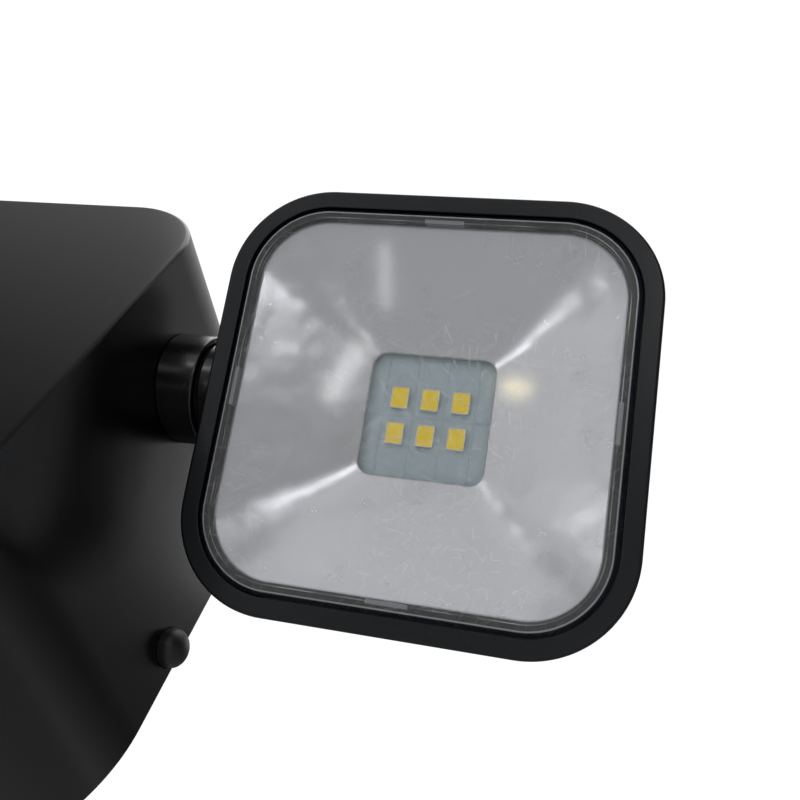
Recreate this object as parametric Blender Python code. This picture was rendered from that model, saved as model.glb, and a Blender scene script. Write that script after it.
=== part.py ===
"""Wall-mounted solar flood light with two tilting lamp heads.

+X points right as seen from in front, +Y points to the wall and +Z points up. The origin is the middle of the
wall bracket's back face, which lies on the wall. Each lamp head tilts about its own axis, parallel to X.
"""

import math

import bmesh
import bpy
from mathutils import Matrix, Vector

MM = 0.001

# Gap that touching pieces keep, and the gap round a piece that slides or turns.
GAP = 0.3 * MM
RUNNING_GAP = 0.3 * MM

# Housing.
HOUSING_FRONT_WIDTH = 163.0 * MM
HOUSING_HEIGHT = 148.0 * MM
HOUSING_DEPTH = 83.8 * MM
HOUSING_WALL = 2.5 * MM
HOUSING_TOP_WALL = 5.5 * MM
TOP_CORNER_RADIUS = 24.0 * MM
BOTTOM_CORNER_RADIUS = 45.0 * MM
SIDE_SLOPE = 0.087
CREASE = 0.8 * MM
WALL_DISTANCE = 4.0 * MM

# Rear cover, its gasket and screws.
COVER_FLANGE = 1.8 * MM
COVER_PLUG = 1.2 * MM
GASKET_WIDTH = 1.4 * MM
SCREW_RADIUS = 1.5 * MM
SCREW_HEAD_RADIUS = 3.0 * MM
SCREW_HEAD_HEIGHT = 1.4 * MM
SCREW_HEAD_EDGE = 0.6 * MM
SCREW_CROWN_RADIUS = 2.2 * MM
SCREW_TIP_RADIUS = 0.7 * MM
SCREW_LENGTH = 14.0 * MM
SCREW_CLEARANCE = 0.4 * MM
SCREW_CROSS_LENGTH = 3.6 * MM
SCREW_CROSS_WIDTH = 0.7 * MM
SCREW_CROSS_DEPTH = 0.8 * MM
POST_RADIUS = 4.0 * MM
POST_INSET_TOP = 15.5 * MM
POST_INSET_BOTTOM = 24.0 * MM
POST_BOTTOM_STEP = 4.0 * MM

# Wall bracket.
BRACKET_WIDTH = 110.0 * MM
BRACKET_HEIGHT = 70.0 * MM
BRACKET_THICKNESS = 2.0 * MM
BRACKET_CORNER = 8.0 * MM
SLOT_SPACING = 70.0 * MM
SLOT_WIDTH = 5.5 * MM
SLOT_LENGTH = 14.0 * MM
HOOK_WIDTH = 16.0 * MM
HOOK_THICKNESS = 1.8 * MM
HOOK_LIP = 3.0 * MM
HOOK_REACH = 6.5 * MM
POCKET_WALL = 2.4 * MM
POCKET_PAD = 3.5 * MM
HOOK_PLACES = ((-24.0 * MM, 18.0 * MM), (24.0 * MM, 18.0 * MM), (0.0, -20.0 * MM))

# Solar panel in the top: its margins to the rounded corners and to the front and rear edges.
PANEL_SIDE_MARGIN = 3.5 * MM
PANEL_EDGE_MARGIN = 7.9 * MM
PANEL_GLASS = 1.6 * MM
PANEL_CELLS = 0.5 * MM
PANEL_BORDER = 2.0 * MM
PANEL_BELOW_TOP = 0.2 * MM

# Motion sensor in the front.
SENSOR_ABOVE_BOTTOM = 38.0 * MM
DOME_RADIUS = 19.5 * MM
DOME_HEIGHT = 17.0 * MM
DOME_WALL = 1.0 * MM
DOME_FLANGE_WIDTH = 2.5 * MM
DOME_FLANGE = 1.2 * MM
SENSOR_RING_WIDTH = 5.0 * MM
SENSOR_RING_HEIGHT = 1.5 * MM
SENSOR_BOARD_WIDTH = 30.0 * MM
SENSOR_BOARD_HEIGHT = 24.0 * MM
SENSOR_CAN_RADIUS = 4.6 * MM
SENSOR_CAN_HEIGHT = 4.2 * MM
BOARD_THICKNESS = 1.6 * MM

# Electronics and battery.
CONTROL_BOARD_HEIGHT = 46.0 * MM
CONTROL_BOARD_BELOW_TOP = 38.0 * MM
CONTROL_BOARD_TO_POST = 8.0 * MM
STANDOFF_HEIGHT = 7.0 * MM
STANDOFF_RADIUS = 3.0 * MM
CELL_RADIUS = 9.2 * MM
CELL_LENGTH = 65.0 * MM
CELL_NUB_RADIUS = 3.0 * MM
CELL_NUB_HEIGHT = 1.0 * MM
TRAY_WALL = 1.5 * MM
TRAY_ABOVE_BOTTOM = 44.0 * MM
TRAY_WALL_HEIGHT = 12.0 * MM

# Charger coil, processor and battery connector: x and z from the board's middle, width, height and depth.
BOARD_PARTS = (
    (-30.0 * MM, 8.0 * MM, 12.0 * MM, 12.0 * MM, 6.0 * MM),
    (0.0, 2.0 * MM, 9.0 * MM, 9.0 * MM, 1.5 * MM),
    (28.0 * MM, -8.0 * MM, 14.0 * MM, 7.0 * MM, 8.0 * MM),
)

# Mode button in the right side.
BUTTON_RADIUS = 4.8 * MM
BUTTON_HEIGHT = 5.2 * MM
BUTTON_EDGE_WALL = 1.1 * MM
BUTTON_ABOVE_CORNER = 14.2 * MM
BUTTON_TRAVEL = 0.7 * MM
BUTTON_STOP_GAP = 0.1 * MM
BUTTON_SKIRT = 0.7 * MM
BUTTON_STRAIGHT = 1.4 * MM
BUTTON_STEM_RADIUS = 1.7 * MM
BUTTON_CLIP_RADIUS = 2.5 * MM
BUTTON_CLIP = 1.0 * MM
SWITCH_SIZE = 4.2 * MM
SWITCH_HEIGHT = 3.6 * MM
SWITCH_BOARD_WIDTH = 4.2 * MM
SWITCH_BOARD_HEIGHT = 14.0 * MM
SWITCH_TO_COVER = 1.1 * MM

# Tilt axis of the lamp heads, and what turns on it. The collar's radius sets the seal, tube, nut and neck in it.
AXIS_BEHIND_FRONT = 29.3 * MM
AXIS_BELOW_TOP = 41.3 * MM
TILT = math.radians(37.7)
COLLAR_RADIUS = 13.8 * MM
COLLAR_LENGTH = 8.85 * MM
COLLAR_LIP = 1.9 * MM
COLLAR_BORE_WALL = 1.3 * MM
COLLAR_INSIDE = 3.5 * MM
SPIGOT_WALL = 3.2 * MM
SEAL_WIDTH = 2.2 * MM
SEAL_DEPTH = 1.2 * MM
NECK_STEP = 1.4 * MM
NECK_GAP = 0.6 * MM
NECK_LENGTH = 4.5 * MM
TUBE_WALL = 3.0 * MM
TUBE_FLANGE_WIDTH = 1.7 * MM
TUBE_FLANGE = 2.0 * MM
TUBE_PAST_NUT = 1.0 * MM
INNER_BOSS_WALL = 3.0 * MM
NUT_WALL = 3.5 * MM
NUT_HEIGHT = 5.0 * MM
NUT_SIDES = 6
WASHER_STEP = 0.5 * MM
WASHER_THICKNESS = 0.8 * MM

# Lamp head, seen from its own face: x across, y behind the front outline, z up.
HEAD_SIZE = 100.0 * MM
HEAD_CORNER = 23.0 * MM
AXIS_ABOVE_CENTRE = 2.0 * MM
NECK_TO_BEZEL = 0.8 * MM
NECK_TO_BACK = 1.9 * MM
BEZEL_PROUD = 0.8 * MM
BEZEL_WIDTH = 4.3 * MM
BEZEL_DEPTH = 2.2 * MM
TONGUE_WIDTH = 1.4 * MM
TONGUE_END = 3.9 * MM
SHELL_WALL = 2.2 * MM
SHELL_BACK = 2.5 * MM
SHELL_TAPER = 3.5 * MM
SHELF_LAP = 1.1 * MM
SHELF_THICKNESS = 1.2 * MM
SHELF_TO_TUBE = 1.1 * MM
LENS_PROUD = 0.9 * MM
LENS_THICKNESS = 1.5 * MM
LENS_CHAMFER = 0.9 * MM
LENS_SKIRT = 1.2 * MM
LENS_CLIP_WIDTH = 9.0 * MM
LENS_CLIP_DEPTH = 0.5 * MM
LENS_GASKET_WIDTH = 1.4 * MM
LENS_GASKET_HEIGHT = 0.8 * MM
REFLECTOR_TO_CLIP = 0.6 * MM
REFLECTOR_FLANGE = 1.0 * MM
REFLECTOR_SKIRT = 1.2 * MM
REFLECTOR_WALL = 1.0 * MM
WINDOW_SIZE = 29.5 * MM
WINDOW_CORNER = 3.5 * MM
WINDOW_BEHIND_FACE = 11.5 * MM
LED_BOARD_SIZE = 34.0 * MM
LED_BOARD_CORNER = 1.0 * MM
LED_BOARD_BEHIND_WINDOW = 1.0 * MM
LED_WIDTH = 4.2 * MM
LED_HEIGHT = 5.15 * MM
LED_THICKNESS = 0.9 * MM
LED_PITCH_X = 7.3 * MM
LED_PITCH_Z = 8.6 * MM
LED_COLUMNS = 3
LED_ROWS = 2
SPREADER_SIZE = 60.0 * MM
SPREADER_THICKNESS = 2.0 * MM
SPREADER_CORNER = 3.0 * MM
SPREADER_FINS = 4
SPREADER_FIN_HEIGHT = 5.0 * MM
SPREADER_FIN_THICKNESS = 1.5 * MM
SPREADER_FIN_PITCH = 8.0 * MM
SPREADER_FIN_LENGTH = 34.0 * MM
SPREADER_POST_SPACING = 46.0 * MM
SPREADER_POST_RADIUS = 3.0 * MM

# Facets: steps in each corner of a rounded outline, up a dome, and round turned pieces from large to thin.
CORNER_STEPS = 5
DOME_STEPS = 8
BUTTON_STEPS = 6
ROUND_STEPS = 32
MEDIUM_ROUND_STEPS = 20
SMALL_ROUND_STEPS = 16
ROD_STEPS = 12
SMOOTH_ANGLE = math.radians(35)
MERGE_DISTANCE = 1e-7

# How far a cutter reaches past what it cuts, and how far a fused piece reaches into what it joins.
OVERCUT = 1.0 * MM
ROOT = 0.5 * MM

# Places that follow from the sizes.
REAR_Y = -WALL_DISTANCE
FRONT_Y = REAR_Y - HOUSING_DEPTH
TOP_Z = HOUSING_HEIGHT / 2
BOTTOM_Z = -HOUSING_HEIGHT / 2
AXIS_Y = FRONT_Y + AXIS_BEHIND_FRONT
AXIS_Z = TOP_Z - AXIS_BELOW_TOP
INNER_FRONT_Y = FRONT_Y + HOUSING_WALL
COVER_FRONT_Y = REAR_Y - COVER_FLANGE - COVER_PLUG
POST_END_Y = COVER_FRONT_Y - GAP
POST_X = HOUSING_FRONT_WIDTH / 2 - POST_INSET_TOP - POST_RADIUS
POST_PLACES = tuple(
    (side * x, z)
    for side in (-1, 1)
    for x, z in (
        (POST_X, TOP_Z - POST_INSET_TOP),
        (POST_X - POST_BOTTOM_STEP, BOTTOM_Z + POST_INSET_BOTTOM),
    )
)
PANEL_HALF_X = HOUSING_FRONT_WIDTH / 2 - TOP_CORNER_RADIUS - PANEL_SIDE_MARGIN
PANEL_HALF_Y = HOUSING_DEPTH / 2 - PANEL_EDGE_MARGIN
PANEL_GLASS_TOP = TOP_Z - PANEL_BELOW_TOP
PANEL_GLASS_BOTTOM = PANEL_GLASS_TOP - PANEL_GLASS
PANEL_CELLS_BOTTOM = PANEL_GLASS_BOTTOM - GAP - PANEL_CELLS
MIDDLE_Y = (FRONT_Y + REAR_Y) / 2
SENSOR_Z = BOTTOM_Z + SENSOR_ABOVE_BOTTOM
CONTROL_BOARD_Z = TOP_Z - CONTROL_BOARD_BELOW_TOP
CONTROL_BOARD_HALF_X = POST_X - POST_RADIUS - CONTROL_BOARD_TO_POST
TRAY_Z = BOTTOM_Z + TRAY_ABOVE_BOTTOM
BUTTON_Y = min(
    REAR_Y - BUTTON_EDGE_WALL - RUNNING_GAP - BUTTON_RADIUS,
    COVER_FRONT_Y - SWITCH_TO_COVER - max(SWITCH_SIZE, SWITCH_BOARD_WIDTH) / 2,
)
BUTTON_Z = BOTTOM_Z + BOTTOM_CORNER_RADIUS + BUTTON_ABOVE_CORNER + BUTTON_RADIUS
HOOK_INSIDE_Y = REAR_Y - POCKET_WALL

# Radii round the tilt axis, from the collar inwards, then those that follow from the tube.
SEAL_OUTER_RADIUS = COLLAR_RADIUS - COLLAR_LIP - GAP
SEAL_INNER_RADIUS = SEAL_OUTER_RADIUS - SEAL_WIDTH
TUBE_RADIUS = SEAL_INNER_RADIUS - GAP - COLLAR_BORE_WALL - RUNNING_GAP
TUBE_BORE = TUBE_RADIUS - TUBE_WALL
TUBE_FLANGE_RADIUS = TUBE_RADIUS + TUBE_FLANGE_WIDTH
SPIGOT_RADIUS = TUBE_RADIUS + RUNNING_GAP + SPIGOT_WALL
WASHER_RADIUS = SPIGOT_RADIUS - WASHER_STEP
NUT_RADIUS = TUBE_RADIUS + NUT_WALL
INNER_BOSS_RADIUS = TUBE_RADIUS + INNER_BOSS_WALL
NECK_RADIUS = COLLAR_RADIUS - NECK_STEP

# Depths in a lamp head, counted from its front outline.
LENS_BACK = LENS_THICKNESS - LENS_PROUD
REFLECTOR_FRONT = LENS_BACK + GAP
SHELL_FRONT = BEZEL_DEPTH + GAP
SHELF_FRONT = TONGUE_END + GAP
SHELF_BACK = SHELF_FRONT + SHELF_THICKNESS
GASKET_FRONT = SHELF_FRONT - GAP - LENS_GASKET_HEIGHT
LENS_SKIRT_END = GASKET_FRONT - GAP
AXIS_BEHIND_FACE = max(
    SHELL_FRONT + NECK_TO_BEZEL + NECK_RADIUS,
    SHELF_BACK + SHELF_TO_TUBE + TUBE_FLANGE_RADIUS,
)
HEAD_DEPTH = AXIS_BEHIND_FACE + NECK_RADIUS + NECK_TO_BACK
SHELL_FLOOR = HEAD_DEPTH - SHELL_BACK
BOARD_FRONT = WINDOW_BEHIND_FACE + REFLECTOR_WALL + LED_BOARD_BEHIND_WINDOW
BOARD_BACK = BOARD_FRONT + BOARD_THICKNESS
SPREADER_FRONT = BOARD_BACK + GAP
SPREADER_BACK = SPREADER_FRONT + SPREADER_THICKNESS

# Half widths in a lamp head.
SHELL_BACK_HALF = HEAD_SIZE / 2 - SHELL_TAPER
LENS_HALF = HEAD_SIZE / 2 - BEZEL_WIDTH - GAP
SKIRT_HALF = LENS_HALF - LENS_SKIRT
CLIP_HALF = SKIRT_HALF - LENS_CLIP_DEPTH
REFLECTOR_HALF = CLIP_HALF - REFLECTOR_TO_CLIP
RIM_HALF = REFLECTOR_HALF - REFLECTOR_FLANGE
SHELF_HALF = REFLECTOR_HALF - SHELF_LAP


def side_x(y):
    """Distance of the housing's side from the middle, which grows towards the wall."""
    return HOUSING_FRONT_WIDTH / 2 + SIDE_SLOPE * (y - FRONT_Y)


# Along the tilt axis, as distances from the middle of the light.
COLLAR_END = side_x(AXIS_Y) + COLLAR_LENGTH
NECK_END = COLLAR_END + NECK_GAP
HEAD_X = NECK_END + NECK_LENGTH + HEAD_SIZE / 2
INNER_BOSS_END = HEAD_X - SHELL_BACK_HALF + SHELL_WALL + GAP
TUBE_HEAD_END = INNER_BOSS_END + GAP + TUBE_FLANGE
COLLAR_INNER_END = side_x(AXIS_Y - SPIGOT_RADIUS) - HOUSING_WALL - COLLAR_INSIDE
NUT_END = COLLAR_INNER_END - GAP - WASHER_THICKNESS - GAP
TUBE_BODY_END = NUT_END - NUT_HEIGHT - TUBE_PAST_NUT


def clear_scene():
    for item in list(bpy.data.objects):
        bpy.data.objects.remove(item, do_unlink=True)


def material(name, color, roughness, metallic=0.0, alpha=1.0):
    made = bpy.data.materials.new(name)
    made.use_nodes = True
    shader = made.node_tree.nodes["Principled BSDF"]
    shader.inputs["Base Color"].default_value = (*color, 1.0)
    shader.inputs["Roughness"].default_value = roughness
    shader.inputs["Metallic"].default_value = metallic
    shader.inputs["Alpha"].default_value = alpha
    made.diffuse_color = (*color, alpha)
    return made


def add_object(name, mesh, finish=None, parent=None):
    """Put a mesh in the scene, shaded smooth except at its corners."""
    made = bpy.data.objects.new(name, mesh)
    bpy.context.scene.collection.objects.link(made)
    made.parent = parent
    if finish is not None and not mesh.materials:
        mesh.materials.append(finish)
    return made


def finish_mesh(name, bm):
    """Write a bmesh out as a mesh whose faces point outwards."""
    bmesh.ops.remove_doubles(bm, verts=bm.verts, dist=MERGE_DISTANCE)
    bmesh.ops.recalc_face_normals(bm, faces=bm.faces)
    mesh = bpy.data.meshes.new(name)
    bm.to_mesh(mesh)
    bm.free()
    mesh.shade_smooth()
    mesh.set_sharp_from_angle(angle=SMOOTH_ANGLE)
    return mesh


def rounded_outline(half_width, top, bottom, top_radius, bottom_radius):
    """Points (x, z) round a rectangle with quarter-circle corners."""
    corners = (
        (half_width - top_radius, top - top_radius, top_radius, 0),
        (top_radius - half_width, top - top_radius, top_radius, 1),
        (bottom_radius - half_width, bottom + bottom_radius, bottom_radius, 2),
        (half_width - bottom_radius, bottom + bottom_radius, bottom_radius, 3),
    )
    points = []
    for x, z, radius, quarter in corners:
        for step in range(CORNER_STEPS + 1):
            angle = math.pi / 2 * (quarter + step / CORNER_STEPS)
            points.append((x + radius * math.cos(angle), z + radius * math.sin(angle)))
    return points


def ring(outline, y):
    """An outline of (x, z) points set at one depth."""
    return [Vector((x, y, z)) for x, z in outline]


def square_ring(half, radius, y):
    """A rounded square round the Y axis, at one depth."""
    return ring(rounded_outline(half, half, -half, radius, radius), y)


def housing_ring(inset, y, top_inset=None):
    """The housing's outline at one depth, drawn in by a wall's thickness."""
    top_inset = inset if top_inset is None else top_inset
    outline = rounded_outline(
        side_x(y) - inset,
        TOP_Z - top_inset,
        BOTTOM_Z + inset,
        TOP_CORNER_RADIUS - top_inset,
        BOTTOM_CORNER_RADIUS - inset,
    )
    return ring(outline, y)


def loft(name, rings, closed=False):
    """A skin through rings with equal numbers of points, capped at both ends or joined end to end."""
    bm = bmesh.new()
    rows = [[bm.verts.new(point) for point in points] for points in rings]
    pairs = list(zip(rows, rows[1:]))
    if closed:
        pairs.append((rows[-1], rows[0]))
    else:
        bm.faces.new(rows[0])
        bm.faces.new(rows[-1])
    for first, second in pairs:
        for i in range(len(first)):
            j = (i + 1) % len(first)
            bm.faces.new((first[i], first[j], second[j], second[i]))
    return finish_mesh(name, bm)


def circle_x(radius, x, y=0.0, z=0.0, steps=ROUND_STEPS):
    """A ring round an axis parallel to X. x is a number, or a function of the point's y."""
    place = x if callable(x) else lambda _: x
    points = []
    for step in range(steps):
        angle = 2 * math.pi * step / steps
        point_y = y + radius * math.cos(angle)
        points.append(Vector((place(point_y), point_y, z + radius * math.sin(angle))))
    return points


def turned_x(name, profile, y=0.0, z=0.0, steps=ROUND_STEPS, closed=True):
    """A body turned about an axis parallel to X, from (radius, x) points."""
    return loft(name, [circle_x(radius, x, y, z, steps) for radius, x in profile], closed)


def turned_y(name, profile, x=0.0, z=0.0, steps=ROUND_STEPS):
    """A body turned about an axis parallel to Y, from (radius, y) points in order round a section."""
    bm = bmesh.new()
    verts = [bm.verts.new((x + radius, y, z)) for radius, y in profile]
    edges = [bm.edges.new((verts[i], verts[(i + 1) % len(verts)])) for i in range(len(verts))]
    bmesh.ops.spin(
        bm,
        geom=verts + edges,
        cent=(x, 0, z),
        axis=(0, 1, 0),
        angle=2 * math.pi,
        steps=steps,
        use_merge=True,
    )
    bmesh.ops.dissolve_degenerate(bm, edges=bm.edges, dist=MERGE_DISTANCE)
    return finish_mesh(name, bm)


def box_mesh(name, low, high):
    """A box between two corners."""
    bm = bmesh.new()
    bmesh.ops.create_cube(bm, size=1.0)
    low, high = Vector(low), Vector(high)
    bmesh.ops.scale(bm, verts=bm.verts, vec=high - low)
    bmesh.ops.translate(bm, verts=bm.verts, vec=(low + high) / 2)
    return finish_mesh(name, bm)


def helper(name, mesh, parent=None):
    """An object that only shapes another, and isn't a piece itself."""
    made = add_object(name, mesh, parent=parent)
    made.hide_render = True
    made.display_type = "WIRE"
    return made


def shape(target, operation, tool):
    """Cut a tool out of a piece, or fuse it on."""
    modifier = target.modifiers.new(tool.name, "BOOLEAN")
    modifier.operation = operation
    modifier.solver = "EXACT"
    modifier.object = tool


def cut(target, tool):
    shape(target, "DIFFERENCE", tool)


def fuse(target, tool):
    shape(target, "UNION", tool)


def tools_mesh(name, meshes):
    """Several separate closed shapes in one mesh, to cut or fuse in one go."""
    bm = bmesh.new()
    for mesh in meshes:
        bm.from_mesh(mesh)
    return finish_mesh(name, bm)


def rod_y(radius, start, end, x, z, steps=SMALL_ROUND_STEPS):
    """A plain round rod parallel to Y."""
    rings = []
    for y in (start, end):
        points = []
        for step in range(steps):
            angle = 2 * math.pi * step / steps
            points.append(Vector((x + radius * math.cos(angle), y, z + radius * math.sin(angle))))
        rings.append(points)
    return loft("rod", rings)


def rod_x(radius, start, end, y, z, steps=ROUND_STEPS):
    """A plain round rod parallel to X."""
    return loft("rod", [circle_x(radius, x, y, z, steps) for x in (start, end)])


def button_frame():
    """Where the mode button sits: its local X points out of the slanted side wall."""
    lean = -math.atan(SIDE_SLOPE)
    place = Matrix.Translation((side_x(BUTTON_Y), BUTTON_Y, BUTTON_Z))
    return place @ Matrix.Rotation(lean, 4, "Z")


def make_housing(finish):
    rings = [
        housing_ring(CREASE, FRONT_Y),
        housing_ring(0.0, FRONT_Y + CREASE),
        housing_ring(0.0, REAR_Y),
        housing_ring(HOUSING_WALL, REAR_Y, HOUSING_TOP_WALL),
        housing_ring(HOUSING_WALL, INNER_FRONT_Y, HOUSING_TOP_WALL),
    ]
    housing = add_object("front_housing", loft("front_housing", rings), finish)
    fuse(housing, helper("housing_posts", housing_posts()))
    cut(housing, helper("housing_drillings", housing_drillings()))
    cut(housing, helper("housing_openings", housing_openings()))
    button_hole = helper("button_hole", button_hole_mesh())
    button_hole.matrix_world = button_frame()
    cut(housing, button_hole)
    return housing


def standoff_places():
    """Corners of the control board's fixing pattern, as (x, z)."""
    half_x = CONTROL_BOARD_HALF_X - 2 * STANDOFF_RADIUS
    half_z = CONTROL_BOARD_HEIGHT / 2 - 2 * STANDOFF_RADIUS
    return [(sx * half_x, CONTROL_BOARD_Z + sz * half_z) for sx in (-1, 1) for sz in (-1, 1)]


def housing_posts():
    start = INNER_FRONT_Y - ROOT
    posts = [rod_y(POST_RADIUS, start, POST_END_Y, x, z) for x, z in POST_PLACES]
    end = INNER_FRONT_Y + STANDOFF_HEIGHT
    posts += [rod_y(STANDOFF_RADIUS, start, end, x, z, ROD_STEPS) for x, z in standoff_places()]
    return tools_mesh("housing_posts", posts)


def housing_drillings():
    """Pilot holes for the cover screws, bored from behind."""
    radius = SCREW_RADIUS + GAP
    depth = SCREW_LENGTH + 2 * OVERCUT
    start = REAR_Y - COVER_FLANGE - depth
    holes = [rod_y(radius, start, POST_END_Y + OVERCUT, x, z, ROD_STEPS) for x, z in POST_PLACES]
    return tools_mesh("housing_drillings", holes)


def housing_openings():
    """Holes for the two collars and the sensor dome, and the recess for the solar panel."""
    across = side_x(REAR_Y) + OVERCUT
    inner = COLLAR_INNER_END
    radius = SPIGOT_RADIUS + GAP
    half_x, half_y = PANEL_HALF_X + GAP, PANEL_HALF_Y + GAP
    floor = PANEL_CELLS_BOTTOM - GAP
    shapes = [
        rod_x(radius, inner, across, AXIS_Y, AXIS_Z),
        rod_x(radius, -across, -inner, AXIS_Y, AXIS_Z),
        rod_y(DOME_RADIUS + GAP, FRONT_Y - OVERCUT, INNER_FRONT_Y + OVERCUT, 0, SENSOR_Z, ROUND_STEPS),
        box_mesh(
            "recess",
            (-half_x, MIDDLE_Y - half_y, floor),
            (half_x, MIDDLE_Y + half_y, TOP_Z + OVERCUT),
        ),
    ]
    return tools_mesh("housing_openings", shapes)


def button_hole_mesh():
    """A stepped hole: the cap sinks into the wide part and the stem passes the narrow one."""
    wide = BUTTON_RADIUS + RUNNING_GAP
    narrow = BUTTON_STEM_RADIUS + RUNNING_GAP
    step = -(BUTTON_SKIRT + BUTTON_TRAVEL + BUTTON_STOP_GAP)
    inside = -(HOUSING_WALL + OVERCUT)
    profile = [(wide, OVERCUT), (wide, step), (narrow, step), (narrow, inside)]
    return turned_x("button_hole", profile, steps=MEDIUM_ROUND_STEPS, closed=False)


def make_rear_cover(finish):
    flange_front = REAR_Y - COVER_FLANGE
    edge = HOUSING_WALL + GAP
    top_edge = HOUSING_TOP_WALL + GAP
    plug = edge + GAP + GASKET_WIDTH
    top_plug = top_edge + GAP + GASKET_WIDTH
    rings = [
        housing_ring(plug, COVER_FRONT_Y, top_plug),
        housing_ring(plug, flange_front, top_plug),
        housing_ring(edge, flange_front, top_edge),
        housing_ring(edge, REAR_Y, top_edge),
    ]
    cover = add_object("rear_cover", loft("rear_cover", rings), finish)
    fuse(cover, helper("hook_pads", hook_pads()))
    cut(cover, helper("cover_holes", cover_holes()))
    return cover


def hook_pocket(x, z):
    """Low and high corners of the space behind the cover's wall that takes one hook's lip."""
    half = HOOK_WIDTH / 2 + GAP
    drop = HOOK_LIP + 2 * GAP
    depth = REAR_Y - HOOK_REACH
    return (x - half, depth, z - drop), (x + half, HOOK_INSIDE_Y, z + HOOK_THICKNESS + HOOK_LIP + GAP)


def hook_pads():
    pads = []
    wall = HOUSING_WALL
    for x, z in HOOK_PLACES:
        low, high = hook_pocket(x, z)
        corner = (low[0] - wall, COVER_FRONT_Y - POCKET_PAD, low[2] - wall)
        pads.append(box_mesh("pad", corner, (high[0] + wall, COVER_FRONT_Y + ROOT, high[2] + wall)))
    return tools_mesh("hook_pads", pads)


def cover_holes():
    """Screw holes with counterbores, and for each hook a mouth and the pocket behind it."""
    shapes = []
    bore = SCREW_RADIUS + SCREW_CLEARANCE
    head = SCREW_HEAD_RADIUS + SCREW_CLEARANCE
    seat = REAR_Y - SCREW_HEAD_HEIGHT - 2 * GAP
    for x, z in POST_PLACES:
        profile = [
            (bore, COVER_FRONT_Y - OVERCUT),
            (bore, seat),
            (head, seat),
            (head, REAR_Y + OVERCUT),
        ]
        rings = []
        for radius, y in profile:
            rings.append([Vector((x + p.y, y, z + p.z)) for p in circle_x(radius, 0, steps=SMALL_ROUND_STEPS)])
        shapes.append(loft("screw_hole", rings))
    for x, z in HOOK_PLACES:
        low, high = hook_pocket(x, z)
        mouth_top = z + HOOK_THICKNESS + GAP
        bm = bmesh.new()
        outline = [
            (REAR_Y + OVERCUT, low[2]),
            (low[1], low[2]),
            (low[1], high[2]),
            (high[1], high[2]),
            (high[1], mouth_top),
            (REAR_Y + OVERCUT, mouth_top),
        ]
        face = bm.faces.new([bm.verts.new((low[0], y, height)) for y, height in outline])
        grown = bmesh.ops.extrude_face_region(bm, geom=[face])["geom"]
        moved = [item for item in grown if isinstance(item, bmesh.types.BMVert)]
        bmesh.ops.translate(bm, verts=moved, vec=(high[0] - low[0], 0, 0))
        shapes.append(finish_mesh("hook_hole", bm))
    return tools_mesh("cover_holes", shapes)


def make_rear_gasket(finish):
    front, back = COVER_FRONT_Y + GAP, REAR_Y - COVER_FLANGE - GAP
    outer, outer_top = HOUSING_WALL + GAP, HOUSING_TOP_WALL + GAP
    inner, inner_top = outer + GASKET_WIDTH, outer_top + GASKET_WIDTH
    rings = [
        housing_ring(outer, front, outer_top),
        housing_ring(outer, back, outer_top),
        housing_ring(inner, back, inner_top),
        housing_ring(inner, front, inner_top),
    ]
    add_object("rear_gasket", loft("rear_gasket", rings, closed=True), finish)


def make_screws(finish):
    """Four cross-head screws, which enter the cover from behind."""
    head_y = -SCREW_HEAD_HEIGHT
    profile = [
        (0.0, head_y - SCREW_LENGTH),
        (SCREW_TIP_RADIUS, head_y - SCREW_LENGTH),
        (SCREW_RADIUS, head_y - SCREW_LENGTH + SCREW_RADIUS),
        (SCREW_RADIUS, head_y),
        (SCREW_HEAD_RADIUS, head_y),
        (SCREW_HEAD_RADIUS, -SCREW_HEAD_EDGE),
        (SCREW_CROWN_RADIUS, 0.0),
        (0.0, 0.0),
    ]
    mesh = turned_y("cover_screw", profile, steps=SMALL_ROUND_STEPS)
    arm, half = SCREW_CROSS_LENGTH / 2, SCREW_CROSS_WIDTH / 2
    for number, (x, z) in enumerate(POST_PLACES, start=1):
        screw = add_object(f"cover_screw_{number}", mesh, finish)
        screw.location = (x, REAR_Y - GAP, z)
        for turn in range(2):
            low, high = (-arm, -SCREW_CROSS_DEPTH, -half), (arm, OVERCUT, half)
            slot = helper(f"screw_slot_{number}_{turn}", box_mesh("slot", low, high), parent=screw)
            slot.rotation_euler = (0, math.pi / 2 * turn, 0)
            cut(screw, slot)


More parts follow.
